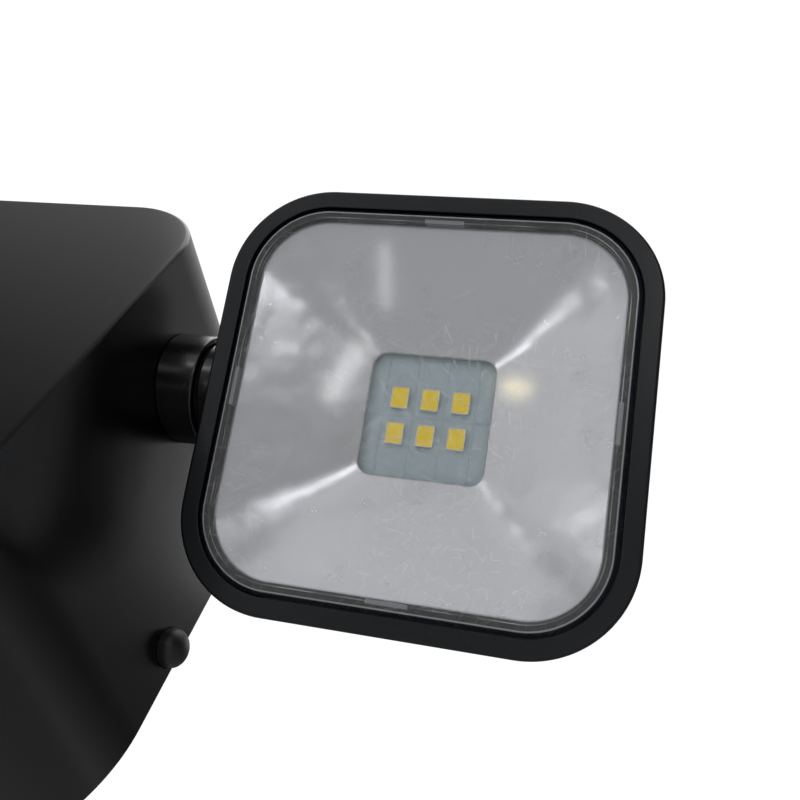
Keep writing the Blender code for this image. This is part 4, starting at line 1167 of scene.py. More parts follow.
@dataclass(frozen=True)
class SensorDome(Finish):
    """Milky moulded lens sheet with fine rings."""

    colour: Colour = (0.6, 0.61, 0.6)

    def shader(self, bench: Bench, own: Link) -> Link:
        """A waxy white that lets a little light in, with rings of a fine pitch about the dome's axis.

        Args:
            bench: Makes the nodes.
            own: The piece's own coordinates.

        Returns:
            The shader.
        """
        x, _, z = bench.parts(own)
        rings = ((x**2 + z**2) ** 0.5).folded(0.7 * MM).between(0.0, 0.35 * MM)
        cloud = bench.noise(own, 8 * MM, 3)
        return bench.principled(
            Base_Color=bench.mix(cloud * 0.5, self.colour, (0.53, 0.55, 0.54)),
            Roughness=0.3 + cloud * 0.08,
            Subsurface_Weight=0.2,
            Subsurface_Scale=0.002,
            Normal=bench.bump(rings, 0.05 * MM, 0.5),
        )


@dataclass(frozen=True)
class PaleFloor(Finish):
    """Plain pale studio floor."""

    def shader(self, bench: Bench, own: Link) -> Link:
        """Matt paper white with a faint drift, lit up a little for the camera so that it stays pale far out.

        Args:
            bench: Makes the nodes.
            own: The piece's own coordinates.

        Returns:
            The shader.
        """
        cloud = bench.noise(own, 0.4, 2)
        paper = bench.principled(Base_Color=bench.mix(cloud, (0.74, 0.74, 0.74), (0.78, 0.78, 0.775)), Roughness=0.7)
        glow = bench.node("ShaderNodeEmission", sockets={"Color": (0.86, 0.86, 0.86)}).outputs[0]
        return bench.blend(bench.seen() * 0.75, paper, glow)


BLACK_PLASTIC = MouldedPlastic("black_plastic", "black_plastic")
BEZEL_PLASTIC = MouldedPlastic(
    "bezel_plastic", "bezel_plastic", colour=(0.002, 0.0032, 0.005), gloss=0.32, specular=0.34, wear=1.4
)
TRAY_PLASTIC = MouldedPlastic("tray_plastic", "tray_plastic", colour=(0.02, 0.02, 0.02), gloss=0.5, wear=0.3)
SEAL_RUBBER = Rubber("seal_rubber", "rubber")
BUTTON_RUBBER = Rubber("button_rubber", "button_rubber", colour=(0.003, 0.003, 0.0035), gloss=0.52, bloom=0.04)
STEEL = PlatedSteel("plated_steel", "steel")
ALUMINIUM = PlatedSteel("pressed_aluminium", "aluminium", colour=(0.68, 0.69, 0.7), gloss=0.38)
BOARD_GREEN = CircuitBoard("circuit_board", "circuit_board")
SLEEVE = BatterySleeve("battery_sleeve", "battery_wrap")


# ---------------------------------------------------------------------------------------------- pieces


def add_piece(name: str, mesh: Mesh, finish: Finish, body: str, stands_for: Sequence[str]) -> None:
    """Put a finished piece in the scene.

    Args:
        name: The piece's name.
        mesh: Its mesh, already in its place.
        finish: What it is made of.
        body: The CAD body that it rides on.
        stands_for: The CAD nodes that it replaces.
    """
    mesh.materials.clear()
    mesh.materials.append(finish.material)
    made = in_scene(name, mesh)
    made.modifiers.new("even_shading", "WEIGHTED_NORMAL").keep_sharp = True
    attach(made, body)
    if stands_for:
        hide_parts(*stands_for)
    log.info("%s on %s: %d faces, %s", name, body, len(mesh.polygons), finish.name)


def dress(finish: Finish, nodes: Iterable[str]) -> None:
    """Give CAD nodes that stay their finish.

    Args:
        finish: What they are made of.
        nodes: Their names.
    """
    for name in nodes:
        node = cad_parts[name]
        node.data.materials.clear()
        node.data.materials.append(finish.material)
        log.info("%s dressed in %s", name, finish.name)


@dataclass
class Housing:
    """The black case, its rear cover with screws, and the wall bracket."""

    top: float = 74.0 * MM
    bottom: float = -74.0 * MM
    top_radius: float = 24.0 * MM
    bottom_radius: float = 45.0 * MM
    wall: float = 2.5 * MM
    top_wall: float = 5.5 * MM
    crease: float = 0.9 * MM
    rear_edge: float = 0.4 * MM
    corner_steps: int = 40
    spigot_radius: float = 11.3 * MM
    spigot_end: float = 77.1 * MM
    spigot_reach: float = 20.0 * MM
    dome_hole: float = 19.8 * MM
    panel_half: tuple[float, float] = (54.3 * MM, 34.3 * MM)
    panel_floor: float = 71.1 * MM
    post_radius: float = 4.0 * MM
    post_sink: float = 0.5 * MM
    posts: tuple[tuple[float, float], ...] = ((62.0 * MM, 58.5 * MM), (58.0 * MM, -50.0 * MM))
    post_end: float = -7.3 * MM
    pilot_radius: float = 1.8 * MM
    pilot_depth: float = 14.0 * MM
    standoffs: tuple[float, float, float] = (44.0 * MM, 36.0 * MM, 17.0 * MM)
    standoff_radius: float = 3.0 * MM
    standoff_length: float = 7.5 * MM
    button_hole: tuple[tuple[float, float], ...] = ((5.1, 1.0), (5.1, -1.5), (2.0, -1.5), (2.0, -3.5))
    plug_inset: float = 4.5 * MM
    flange_inset: float = 2.8 * MM
    flange_edge: float = 0.3 * MM
    cover_front: float = -7.0 * MM
    flange_front: float = -5.8 * MM
    screw_hole: tuple[float, float] = (1.9 * MM, 5.0 * MM)
    counterbore: tuple[float, float] = (3.4 * MM, 2.0 * MM)
    pocket_front: float = -10.5 * MM
    pocket_back: float = -6.4 * MM
    pocket_wall: float = 1.5 * MM
    pocket_half: float = 8.3 * MM
    pocket_below: float = 3.6 * MM
    pocket_above: float = 5.1 * MM
    mouth_above: float = 2.1 * MM
    hooks: tuple[tuple[float, float], ...] = ((-24.0 * MM, 18.0 * MM), (24.0 * MM, 18.0 * MM), (0.0, -20.0 * MM))
    hook_half: float = 8.0 * MM
    hook_section: Section = Section(
        ((-1.5, 0, 0), (-8.5, 0, 1.0), (-8.5, 4.8, 0.3), (-6.7, 4.8, 0.3), (-6.7, 1.8, 0.3), (-1.5, 1.8, 0))
    )
    bracket_half: tuple[float, float] = (55.0 * MM, 35.0 * MM)
    bracket_corner: float = 8.0 * MM
    bracket_section: Section = Section(((3.0, -2.0, 0), (0, -2.0, 0.3), (0, 0, 0.3), (3.0, 0, 0)), 4)
    slot_half: tuple[float, float] = (2.75 * MM, 7.0 * MM)
    slot_x: float = 35.0 * MM
    screw_section: Section = Section(
        (
            (0, -15.4, 0),
            (0.7, -15.4, 0.2),
            (1.5, -13.9, 0.4),
            (1.5, -1.4, 0.2),
            (3.0, -1.4, 0.1),
            (3.0, -0.5, 0.5),
            (2.0, 0, 1.5),
            (0, 0, 0),
        )
    )
    recess: tuple[float, float, float] = (1.8 * MM, 0.35 * MM, 0.8 * MM)

    def rings(self, profile: Array, extra_top: Array | float = 0.0) -> Array:
        """Carry a profile round the case, whose side walls stand wider towards the back by the wall's slope.

        Args:
            profile: Points (inset, y): how far inside the outline, and the depth.
            extra_top: What the inset grows by at the top.

        Returns:
            Points, (rings, points, 3).
        """
        inset, y = profile[:, 0], profile[:, 1]
        upper = inset + extra_top
        outline = rounded_rings(
            FRONT_HALF_WIDTH + WALL_SLOPE * (y - FRONT_Y) - inset,
            self.top - upper,
            self.bottom + inset,
            self.top_radius - upper,
            self.bottom_radius - inset,
            self.corner_steps,
        )
        return at_depths(outline, y)

    def rods(self, radius: float, start: float, length: float, steps: int = Chords.PLAIN) -> list[Surface]:
        """A rod along Y at each of the four screw posts.

        Args:
            radius: Their radius.
            start: Where they start.
            length: Their length.
            steps: Chords in the circle.

        Returns:
            The rods.
        """
        return [rod(radius, (sign * x, start, z), length, 1, steps) for sign in (-1, 1) for x, z in self.posts]

    def shell(self) -> Mesh:
        """The case in one piece, with its posts, its openings and the panel's recess.

        The skin follows one profile: in from the flat front over the crease, back along the side, round the rear edge
        and forward again along the inside.

        Returns:
            The mesh.
        """
        outer = [(2.4 * MM, FRONT_Y), (0.0, FRONT_Y), (0.0, REAR_Y), (self.wall, REAR_Y)]
        skin = filleted(outer, (0.0, self.crease, self.rear_edge, 0.0), 8)
        inner = np.array([(self.wall, FRONT_Y + self.wall)])
        thick = self.top_wall - self.wall
        share = np.clip((skin[:, 0] - self.rear_edge) / (self.wall - self.rear_edge), 0, 1)
        extra = np.concatenate([share * thick * (skin[:, 1] > REAR_Y - MM), [thick]])
        case = Surface.skin(self.rings(np.vstack([skin, inner]), extra))
        inside = FRONT_Y + self.wall - self.post_sink
        posts = self.rods(self.post_radius, inside, self.post_end - inside)
        across, middle, up = self.standoffs
        posts += [
            rod(self.standoff_radius, (sx * across, inside, middle + sz * up), self.standoff_length, 1, Chords.THIN)
            for sx, sz in FOUR_WAYS
        ]
        half_x, half_y = self.panel_half
        reach = self.spigot_reach
        cuts = [
            rod(self.spigot_radius, (start, TILT_AXIS_Y, TILT_AXIS_Z), reach, 0, Chords.OPENING)
            for start in (self.spigot_end, -self.spigot_end - reach)
        ]
        cuts.append(rod(self.dome_hole, (0.0, FRONT_Y - MM, SENSOR_Z), self.wall + 2 * MM, 1, Chords.OPENING))
        recess = (-half_x, PANEL_Y - half_y, self.panel_floor), (half_x, PANEL_Y + half_y, self.top + MM)
        cuts.append(Surface.box(*recess))
        cuts += self.rods(self.pilot_radius, self.post_end - self.pilot_depth, self.pilot_depth + MM, Chords.THIN)
        hole = turned(np.array(self.button_hole) * MM, Chords.BORE, False)
        sunk = Surface(ModeButton().place.points(hole.points), hole.faces)
        steps = [(Join.FUSE, Surface.joined(posts)), (Join.CUT, Surface.joined(cuts)), (Join.CUT, sunk)]
        return worked("housing_shell", case, steps)

    def cover(self) -> Mesh:
        """The rear cover: a flush plate on a plug, with counterbores and a pocket for each hook.

        Returns:
            The mesh.
        """
        plug, flange, edge = self.plug_inset, self.flange_inset, self.flange_edge
        profile = [
            (plug, self.cover_front),
            (plug, self.flange_front),
            (flange, self.flange_front),
            (flange, REAR_Y - edge),
            (flange + edge, REAR_Y),
        ]
        plate = Surface.skin(self.rings(np.array(profile), self.top_wall - self.wall))
        pads, pockets, mouths = [], [], []
        wall, front = self.pocket_wall, self.pocket_front
        for x, z in self.hooks:
            left, right = x - self.pocket_half, x + self.pocket_half
            low, high = z - self.pocket_below, z + self.pocket_above
            pad = (left - wall, front - wall, low - wall), (right + wall, self.flange_front, high + wall)
            pads.append(Surface.box(*pad))
            pockets.append(Surface.box((left, front, low), (right, self.pocket_back, high)))
            mouths.append(Surface.box((left, front, low), (right, REAR_Y + MM, z + self.mouth_above)))
        (hole, length), (bore, depth) = self.screw_hole, self.counterbore
        holes = self.rods(hole, self.cover_front - MM, length + MM)
        bores = self.rods(bore, REAR_Y - depth, depth + MM, Chords.SCREW)
        steps = [(Join.FUSE, Surface.joined(pads))]
        steps += [(Join.CUT, Surface.joined(group)) for group in (pockets, mouths, holes, bores)]
        return worked("rear_cover_plate", plate, steps)

    def screws(self) -> Mesh:
        """The four cover screws: a domed head over a pointed shank, with a crossed recess.

        Returns:
            One mesh for all four.
        """
        screw = turned(self.screw_section.points(), Chords.SCREW, False)
        screw = Surface(screw.points[:, [1, 0, 2]], screw.faces)
        arm, half, depth = self.recess
        cross = [Surface.box((-x, -depth, -z), (x, MM, z)) for x, z in ((arm, half), (half, arm))]
        mesh = worked("screw", screw, [(Join.CUT, cut) for cut in cross])
        points = np.empty(len(mesh.vertices) * 3)
        mesh.vertices.foreach_get("co", points)
        one = Surface(points.reshape(-1, 3), [list(face.vertices) for face in mesh.polygons])
        all_four = [one.shifted((sign * x, REAR_Y - GAP, z)) for sign in (-1, 1) for x, z in self.posts]
        return Surface.joined(all_four).mesh("cover_screws")

    def bracket(self) -> Mesh:
        """The wall bracket: a plate with broken edges, three bent hooks and two upright slots.

        Returns:
            The mesh.
        """
        inset, depth = self.bracket_section.points().T
        half_x, half_z = self.bracket_half
        corner = self.bracket_corner - inset
        outline = rounded_rings(half_x - inset, half_z - inset, inset - half_z, corner, corner, 12)
        plate = Surface.skin(at_depths(outline, depth))
        y, rise = self.hook_section.points().T
        ends = np.array([[-self.hook_half], [self.hook_half]])
        hooks = [Surface.skin(np.stack(np.broadcast_arrays(x + ends, y, rise + z), -1)) for x, z in self.hooks]
        half, high = self.slot_half
        pair = np.repeat(rounded_rings(half, high, -high, half, half, 12), 2, 0)
        slots = [Surface.skin(at_depths(pair + (x, 0.0), (-3 * MM, MM))) for x in (-self.slot_x, self.slot_x)]
        return worked("bracket", plate, [(Join.FUSE, Surface.joined(hooks)), (Join.CUT, Surface.joined(slots))])

    def build(self) -> None:
        """Make the case's pieces and dress the gasket inside it."""
        screws = [f"cover_screw_{n}" for n in range(1, SCREW_COUNT + 1)]
        add_piece("housing_shell", self.shell(), BLACK_PLASTIC, "root", ["front_housing"])
        add_piece("rear_cover_plate", self.cover(), BLACK_PLASTIC, "root", ["rear_cover"])
        add_piece("cover_screws", self.screws(), STEEL, "root", screws)
        add_piece("hanging_bracket", self.bracket(), STEEL, "root", ["wall_bracket"])
        dress(SEAL_RUBBER, ["rear_gasket"])


@dataclass
class SolarPanel:
    """The glass and the cells set in the top of the case."""

    half_x: float = 54.0 * MM
    half_y: float = 34.0 * MM
    corner: float = 0.8 * MM
    least_corner: float = 0.05 * MM
    glass_bottom: float = 72.2 * MM
    glass_top: float = 73.8 * MM
    edge: float = 0.35 * MM

    def glass(self) -> Mesh:
        """The cover glass, with ground edges.

        Returns:
            The mesh.
        """
        low, high = self.glass_bottom, self.glass_top
        profile = filleted([(2 * MM, low), (0.0, low), (0.0, high), (2 * MM, high)], (0, self.edge, self.edge, 0), 4)
        inset = profile[:, 0]
        corner = np.maximum(self.corner - inset, self.least_corner)
        outline = rounded_rings(self.half_x - inset, self.half_y - inset, inset - self.half_y, corner, corner, 6)
        level = at_depths(outline, profile[:, 1])[..., [0, 2, 1]]
        return Surface.skin(level + (0.0, PANEL_Y, 0.0)).mesh("panel_glass")

    def build(self) -> None:
        """Make the glass and dress the cells."""
        place = Place(origin=(0.0, PANEL_Y, 0.0))
        glass = PanelGlass("panel_glass", "panel_glass", place)
        add_piece("panel_cover_glass", self.glass(), glass, "root", ["solar_panel_glass"])
        dress(SolarCells("solar_cells", "solar_cells", place), ["solar_cell_sheet"])


@dataclass
class MotionSensor:
    """The faceted dome in the front, the ring round it, and the sensor behind."""

    radius: float = 19.5 * MM
    height: float = 17.0 * MM
    wall: float = 1.0 * MM
    groove: float = 0.34 * MM
    groove_width: float = 0.5 * MM
    smooth_rim: float = 0.12
    flange: tuple[float, float, float] = (22.0 * MM, -85.0 * MM, -83.8 * MM)
    rows: int = 120
    columns: int = 240
    tiers: tuple[float, ...] = (0.27, 0.52, 0.75)
    facets: tuple[int, ...] = (1, 8, 12, 16)
    ring_section: Section = Section(
        ((19.8, -88.1, 0.1), (24.8, -88.1, 0.15), (24.8, -89.6, 0.9), (19.8, -89.6, 0.3)), 6
    )

    def dome(self) -> Mesh:
        """The dome: half an ellipsoid with grooves between the facets, on a flange.

        A point at climb t and angle a stands at radius R cos t and height H sin t. Grooves lie at set climbs and, in
        each tier between them, at even angles; each sinks the skin by a bell curve of the distance to it.

        Returns:
            The mesh.
        """
        climb = np.linspace(0, np.pi / 2, self.rows)[:, None]
        angle = np.linspace(0, 2 * np.pi, self.columns, endpoint=False)[None, :]
        share = 1 - climb / (np.pi / 2)
        ring_lines = np.min([np.abs(share - tier) for tier in self.tiers], axis=0) * self.radius * np.pi / 2
        tier = np.searchsorted(self.tiers, share[:, 0])
        count = np.array(self.facets)[tier][:, None]
        turn = (angle * count / (2 * np.pi)) % 1
        spoke = np.minimum(turn, 1 - turn) * 2 * np.pi / count * self.radius * np.cos(climb)
        spoke = np.where(count == 1, 1.0, spoke)
        near = np.minimum(np.broadcast_to(ring_lines, spoke.shape), spoke)
        bell = np.exp(-((near / self.groove_width) ** 2))
        sink = self.groove * bell * np.clip(climb / self.smooth_rim, 0, 1)
        outer = self.half_ellipsoid(climb, angle, sink)
        inner = self.half_ellipsoid(climb[::4], angle, np.full_like(climb[::4] * angle, self.wall))
        wide, front, back = self.flange
        foot = self.circles([(self.radius - self.wall, back), (wide, back), (wide, front), (self.radius, front)], angle)
        return Surface.skin(np.concatenate([inner[::-1], foot, outer])).mesh("sensor_dome")

    def half_ellipsoid(self, climb: Array, angle: Array, sink: Array) -> Array:
        """Points of half an ellipsoid that bulges to the front, sunk by a depth.

        Args:
            climb: Angle above the rim, (rows, 1).
            angle: Angle round the axis, (1, columns).
            sink: Depth below the full shape, (rows, columns).

        Returns:
            Points, (rows, columns, 3).
        """
        across = (self.radius - sink) * np.cos(climb)
        y = FRONT_Y - (self.height - sink) * np.sin(climb)
        return np.stack([across * np.cos(angle), y, SENSOR_Z + across * np.sin(angle)], -1)

    def circles(self, profile: Array | Sequence[tuple[float, float]], angle: Array) -> Array:
        """Circles of (radius, y) about the dome's axis.

        Args:
            profile: Radius and depth of each.
            angle: Angles round the axis, (1, columns).

        Returns:
            Points, (circles, columns, 3).
        """
        radius, y = np.array(profile).T[:, :, None]
        x, z = radius * np.cos(angle), SENSOR_Z + radius * np.sin(angle)
        return np.stack([x, np.broadcast_to(y, x.shape), z], -1)

    def ring(self) -> Mesh:
        """The ring that stands on the front round the dome.

        Returns:
            The mesh.
        """
        angle = np.linspace(0, 2 * np.pi, Chords.RING, endpoint=False)[None, :]
        return Surface.skin(self.circles(self.ring_section.points(), angle), along=True).mesh("sensor_ring")

    def build(self) -> None:
        """Make the dome and ring, and dress the sensor and its board."""
        milky = SensorDome("sensor_dome", "sensor_dome", Place(origin=(0.0, 0.0, SENSOR_Z)))
        add_piece("sensor_dome", self.dome(), milky, "root", ["pir_lens"])
        add_piece("sensor_ring", self.ring(), BLACK_PLASTIC, "root", ["pir_ring"])
        dress(STEEL, ["pir_sensor"])
        dress(BOARD_GREEN, ["pir_board"])


@dataclass
class Electronics:
    """What lies inside the case."""

    def build(self) -> None:
        """Dress the boards, the battery and the switch."""
        dress(BOARD_GREEN, ["control_board", "switch_board"])
        dress(TRAY_PLASTIC, ["battery_tray", "mode_switch"])
        dress(SLEEVE, ["battery_cell_1", "battery_cell_2"])


@dataclass
class ModeButton:
    """The domed button in the right side. Its own X points out of the slanted wall."""

    radius: float = 4.8 * MM
    straight: float = 1.4 * MM
    height: float = 5.2 * MM
    stem: tuple[tuple[float, float], ...] = ((4.8, -0.7), (1.7, -0.7), (1.7, -2.8), (2.5, -2.8), (1.7, -3.8))
    place: Place = Place(
        origin=(FRONT_HALF_WIDTH + WALL_SLOPE * (BUTTON_Y - FRONT_Y), BUTTON_Y, BUTTON_Z),
        turn=(0.0, 0.0, -math.atan(WALL_SLOPE)),
    )

    def cap(self) -> Mesh:
        """The cap with its stem and clip: a straight skirt, then a quarter of an ellipse up to the middle.

        Returns:
            The mesh.
        """
        angle = np.linspace(np.pi / 2, 0, 24)
        dome = np.stack([self.radius * np.cos(angle), self.straight + (self.height - self.straight) * np.sin(angle)], 1)
        made = turned(np.vstack([dome, np.array(self.stem) * MM]), Chords.BUTTON, False)
        return settled(made.mesh("mode_button_cap"), self.place)

    def build(self) -> None:
        """Make the button."""
        add_piece("mode_button_cap", self.cap(), BUTTON_RUBBER, "mode_button", ["mode_button"])


@dataclass
class TiltCollar:
    """The boss on one side of the case, in which a lamp head turns."""

    side: Side
    base_x: float = 84.35 * MM
    end_x: float = 92.9 * MM
    radius: float = 13.8 * MM
    spigot_radius: float = 11.0 * MM
    spigot_end: float = 77.09 * MM
    bore_radius: float = 7.8 * MM
    groove: tuple[float, float] = (9.1 * MM, 11.9 * MM)
    groove_depth: float = 1.5 * MM
    fine_edge: float = 0.15 * MM
    outer_edge: float = 0.6 * MM

    def boss(self) -> Mesh:
        """The boss: its foot lies on the slanted wall, its end holds the groove of the seal.

        Returns:
            The mesh.
        """
        end, floor, fine = self.end_x, self.end_x - self.groove_depth, self.fine_edge
        inner, outer = self.groove
        corners = [
            (self.spigot_radius, self.spigot_end, 0.0),
            (self.bore_radius, self.spigot_end, 0.0),
            (self.bore_radius, end, fine),
            (inner, end, fine),
            (inner, floor, 0.0),
            (outer, floor, 0.0),
            (outer, end, fine),
            (self.radius, end, self.outer_edge),
        ]
        sharp = np.array(corners)
        profile = filleted(sharp[:, :2], sharp[:, 2], 6)
        foot = [(self.radius, self.base_x), (self.spigot_radius, self.base_x)]
        lean = np.concatenate([np.zeros(len(profile)), np.full(2, WALL_SLOPE)])
        made = turned(np.vstack([profile, foot]), Chords.COLLAR, True, lean)
        return settled(made.mesh("boss"), Place(origin=(0.0, TILT_AXIS_Y, TILT_AXIS_Z)), self.side)

    def build(self) -> None:
        """Make the boss and dress its seal and washer."""
        label = self.side.label
        add_piece(f"{label}_boss", self.boss(), BLACK_PLASTIC, "root", [f"{label}_collar"])
        dress(SEAL_RUBBER, [f"{label}_collar_seal"])
        dress(STEEL, [f"{label}_friction_washer"])


@dataclass
class LampHead:
    """One lamp head. Its own axes stand on its face: x across, y behind the front outline, z up.

    Sections are drawn as (half width, depth), and carried round the head's rounded square.
    """

    side: Side
    tilt: float = math.radians(37.7)
    axis_x: float = 148.0 * MM
    axis_behind_face: float = 15.7 * MM
    axis_above_middle: float = 2.0 * MM
    half: float = 50.0 * MM
    corner: float = 23.0 * MM
    corner_steps: int = 32
    bezel_section: Section = Section(
        ((50.0, -0.8, 0.8), (45.7, -0.8, 0.22), (45.7, 3.9, 0.1), (47.1, 3.9, 0.1), (47.1, 2.2, 0.0), (50.0, 2.2, 0.2)),
        7,
    )
    lens_section: Section = Section(
        (
            (40, -0.9, 0),
            (44.5, -0.9, 0.5),
            (45.4, 0, 0.3),
            (45.4, 2.8, 0.15),
            (44.2, 2.8, 0.15),
            (44.2, 0.6, 0.3),
            (40, 0.6, 0),
        )
    )
    clip_reach: tuple[float, float] = (43.7 * MM, 44.8 * MM)
    clip_depths: tuple[float, float] = (0.1 * MM, 2.8 * MM)
    clip_half: float = 4.5 * MM
    seal_section: Section = Section(((45.4, 3.1, 0.3), (45.4, 3.9, 0.3), (44.0, 3.9, 0.3), (44.0, 3.1, 0.3)), 4)
    rim_half: float = 42.1 * MM
    window_half: float = 14.75 * MM
    window_corner: float = 3.5 * MM
    bowl_section: Section = Section(
        (
            (41.9, 3.9, 0.1),
            (43.1, 3.9, 0.1),
            (43.1, 0.9, 0.35),
            (42.1, 0.9, 0.45),
            (14.75, 11.5, 0.5),
            (14.75, 12.5, 0.1),
            (41.6, 2.4, 0.1),
        )
    )
    cup_section: Section = Section(((45.0, 2.5, 0), (49.7, 2.5, 0.25), (46.5, 30.0, 2.4), (40.0, 30.0, 0)), 8)
    hollow: tuple[tuple[float, float], ...] = (
        (47.4, 1.5),
        (47.4, 4.2),
        (42.0, 4.2),
        (42.0, 5.4),
        (47.0, 6.6),
        (44.6, 27.5),
    )
    neck_section: Section = Section(((0, -54.5, 0), (12.4, -54.5, 0.4), (12.4, -44.0, 0), (0, -44.0, 0)))
    boss: tuple[float, float, float] = (10.5 * MM, -47.6 * MM, 3.6 * MM)
    bore: tuple[float, float, float] = (7.8 * MM, -56.0 * MM, 14.0 * MM)
    post: tuple[float, float, float] = (3.0 * MM, 17.9 * MM, 10.1 * MM)
    post_place: float = 23.0 * MM
    board_half: float = 17.0 * MM
    board_section: Section = Section(((12.0, 13.5, 0), (17.0, 13.5, 0.15), (17.0, 15.1, 0.15), (12.0, 15.1, 0)), 3)
    led_half: tuple[float, float] = (2.1 * MM, 2.575 * MM)
    led_front: float = 12.3 * MM
    led_pitch: tuple[float, float] = (7.3 * MM, 8.6 * MM)
    led_section: Section = Section(
        ((0.74, 12.5, 0), (0.24, 12.5, 0.05), (0.14, 12.3, 0.04), (0, 12.3, 0.08), (0, 13.2, 0.04), (0.8, 13.2, 0)), 3
    )
    led_corner: float = 0.3 * MM
    least_led_corner: float = 0.08 * MM
    gel_inset: float = 0.26 * MM
    gel_edge: float = 0.19 * MM
    gel_floor: float = 0.2 * MM
    gel_crown: float = 0.17 * MM
    gel_points: int = 13

    @property
    def place(self) -> Place:
        """Where the head's face stands, tilted about its axis.

        Returns:
            The place.
        """
        cosine, sine = math.cos(self.tilt), math.sin(self.tilt)
        back, up = self.axis_behind_face, self.axis_above_middle
        y, z = TILT_AXIS_Y - cosine * back + sine * up, TILT_AXIS_Z - sine * back - cosine * up
        return Place(origin=(self.side.value * self.axis_x, y, z), turn=(self.tilt, 0.0, 0.0))

    def rings(self, profile: Array, corner: Array | None = None) -> Array:
        """Rounded squares about the head's middle.

        Args:
            profile: Half the width and the depth of each, (count, 2).
            corner: Its corner's radius, or None to keep parallel with the head's outline.

        Returns:
            Points, (rings, points, 3).
        """
        half, depth = profile.T
        radius = self.corner - (self.half - half) if corner is None else corner
        return at_depths(rounded_rings(half, half, -half, radius, radius, self.corner_steps), depth)

    def put(self, mesh: Mesh) -> Mesh:
        """Carry a mesh from the head's own axes to its place."""
        return settled(mesh, self.place, self.side)

    def band(self, name: str, section: Section, corner: Array | None = None) -> Mesh:
        """A closed section carried round the head's rounded square, as the bezel, the seal and the bowl are.

        Args:
            name: The mesh's name.
            section: What is carried round.
            corner: Radius of each ring's corner, or None to keep parallel with the head's outline.

        Returns:
            The mesh.
        """
        return self.put(Surface.skin(self.rings(section.points(), corner), along=True).mesh(name))

    def lens(self) -> Mesh:
        """The clear plate: a chamfered edge, a skirt behind it and a clip in the middle of each side.

        Returns:
            The mesh.
        """
        plate = Surface.skin(self.rings(self.lens_section.points()))
        (front, back), half = self.clip_depths, self.clip_half
        clips = []
        for sign in (-1, 1):
            near, far = sorted(sign * reach for reach in self.clip_reach)
            clips.append(Surface.box((near, front, -half), (far, back, half)))
            clips.append(Surface.box((-half, front, near), (half, back, far)))
        return self.put(worked("lens", plate, [(Join.FUSE, Surface.joined(clips))]))

    def bowl_corner(self) -> Array:
        """Corner radius of each ring of the reflector, whose slopes run from a rounded rim to the square window.

        From the rim to the window the half width, the corner radius and the depth all change evenly, so that the
        slopes are flat and the corners are cones.

        Returns:
            The radii.
        """
        half = self.bowl_section.points()[:, 0]
        rim_corner = self.corner - (self.half - self.rim_half)
        share = np.clip((self.rim_half - half) / (self.rim_half - self.window_half), 0, 1)
        even = rim_corner + (self.window_corner - rim_corner) * share
        return np.where(half > self.rim_half, self.corner - (self.half - half), even)

    def cup(self) -> Mesh:
        """The cup behind the bezel, with the hollow neck that points at the case.

        Returns:
            The mesh.
        """
        y, z = self.axis_behind_face, self.axis_above_middle
        neck = turned(self.neck_section.points(), Chords.COLLAR, False).shifted((0.0, y, z))
        space = Surface.skin(self.rings(np.array(self.hollow) * MM))
        (radius, start, length), far = self.post, self.post_place
        posts = [rod(radius, (sx * far, start, sz * far), length, 1) for sx, sz in FOUR_WAYS]
        boss, bore = (rod(size, (at, y, z), long, 0, Chords.BORE) for size, at, long in (self.boss, self.bore))
        steps = [
            (Join.FUSE, neck),
            (Join.CUT, space),
            (Join.FUSE, Surface.joined([boss, *posts])),
            (Join.CUT, bore),
        ]
        return self.put(worked("cup", Surface.skin(self.rings(self.cup_section.points())), steps))

    def board(self) -> Mesh:
        """The board behind the window, with broken edges.

        Returns:
            The mesh.
        """
        profile = self.board_section.points()
        corner = MM - (self.board_half - profile[:, 0]) * 0.1
        return self.put(Surface.skin(self.rings(profile, corner)).mesh("led_plate"))

    def six(self, one: Surface, name: str) -> Mesh:
        """Repeat a surface at the six LEDs, in three columns and two rows.

        Args:
            one: The surface, about the head's middle.
            name: The mesh's name.

        Returns:
            One mesh for all six.
        """
        across, up = self.led_pitch
        middles = [(column * across, 0.0, row * up) for row in (0.5, -0.5) for column in (-1, 0, 1)]
        return self.put(Surface.joined([one.shifted(middle) for middle in middles]).mesh(name))

    def packages(self) -> Mesh:
        """The frames of the six LEDs: a raised edge round a shallow well.

        Returns:
            One mesh for all six.
        """
        half_x, half_z = self.led_half
        inset, depth = self.led_section.points().T
        radius = np.maximum(self.led_corner - inset * 0.2, self.least_led_corner)
        outline = rounded_rings(half_x - inset, half_z - inset, inset - half_z, radius, radius, 4)
        return self.six(Surface.skin(at_depths(outline, depth)), "led_frames")

    def phosphors(self) -> Mesh:
        """The gel in the six wells, crowned by (1 - u^4)(1 - v^4), with u and v from -1 to 1 across the well.

        Returns:
            One mesh for all six.
        """
        half_x, half_z = (half - self.gel_inset for half in self.led_half)
        even = np.linspace(-1, 1, self.gel_points)
        u, v = even[:, None], even[None, :]
        crown = self.gel_crown * (1 - u**4) * (1 - v**4)
        x, z = np.broadcast_arrays(u * half_x, v * half_z)
        top = np.stack([x, self.led_front + self.gel_edge - crown, z], -1)
        base = np.stack([x, np.full_like(x, self.led_front + self.gel_floor), z], -1)
        pad = Surface.joined([Surface.skin(sheet, around=False, capped=False) for sheet in (top, base)])
        edges = [
            np.concatenate([sheet[0], sheet[1:, -1], sheet[-1, -2::-1], sheet[-2:0:-1, 0]]) for sheet in (top, base)
        ]
        wall = Surface.skin(np.stack(edges), capped=False)
        return self.six(Surface.joined([pad, wall]), "phosphor")

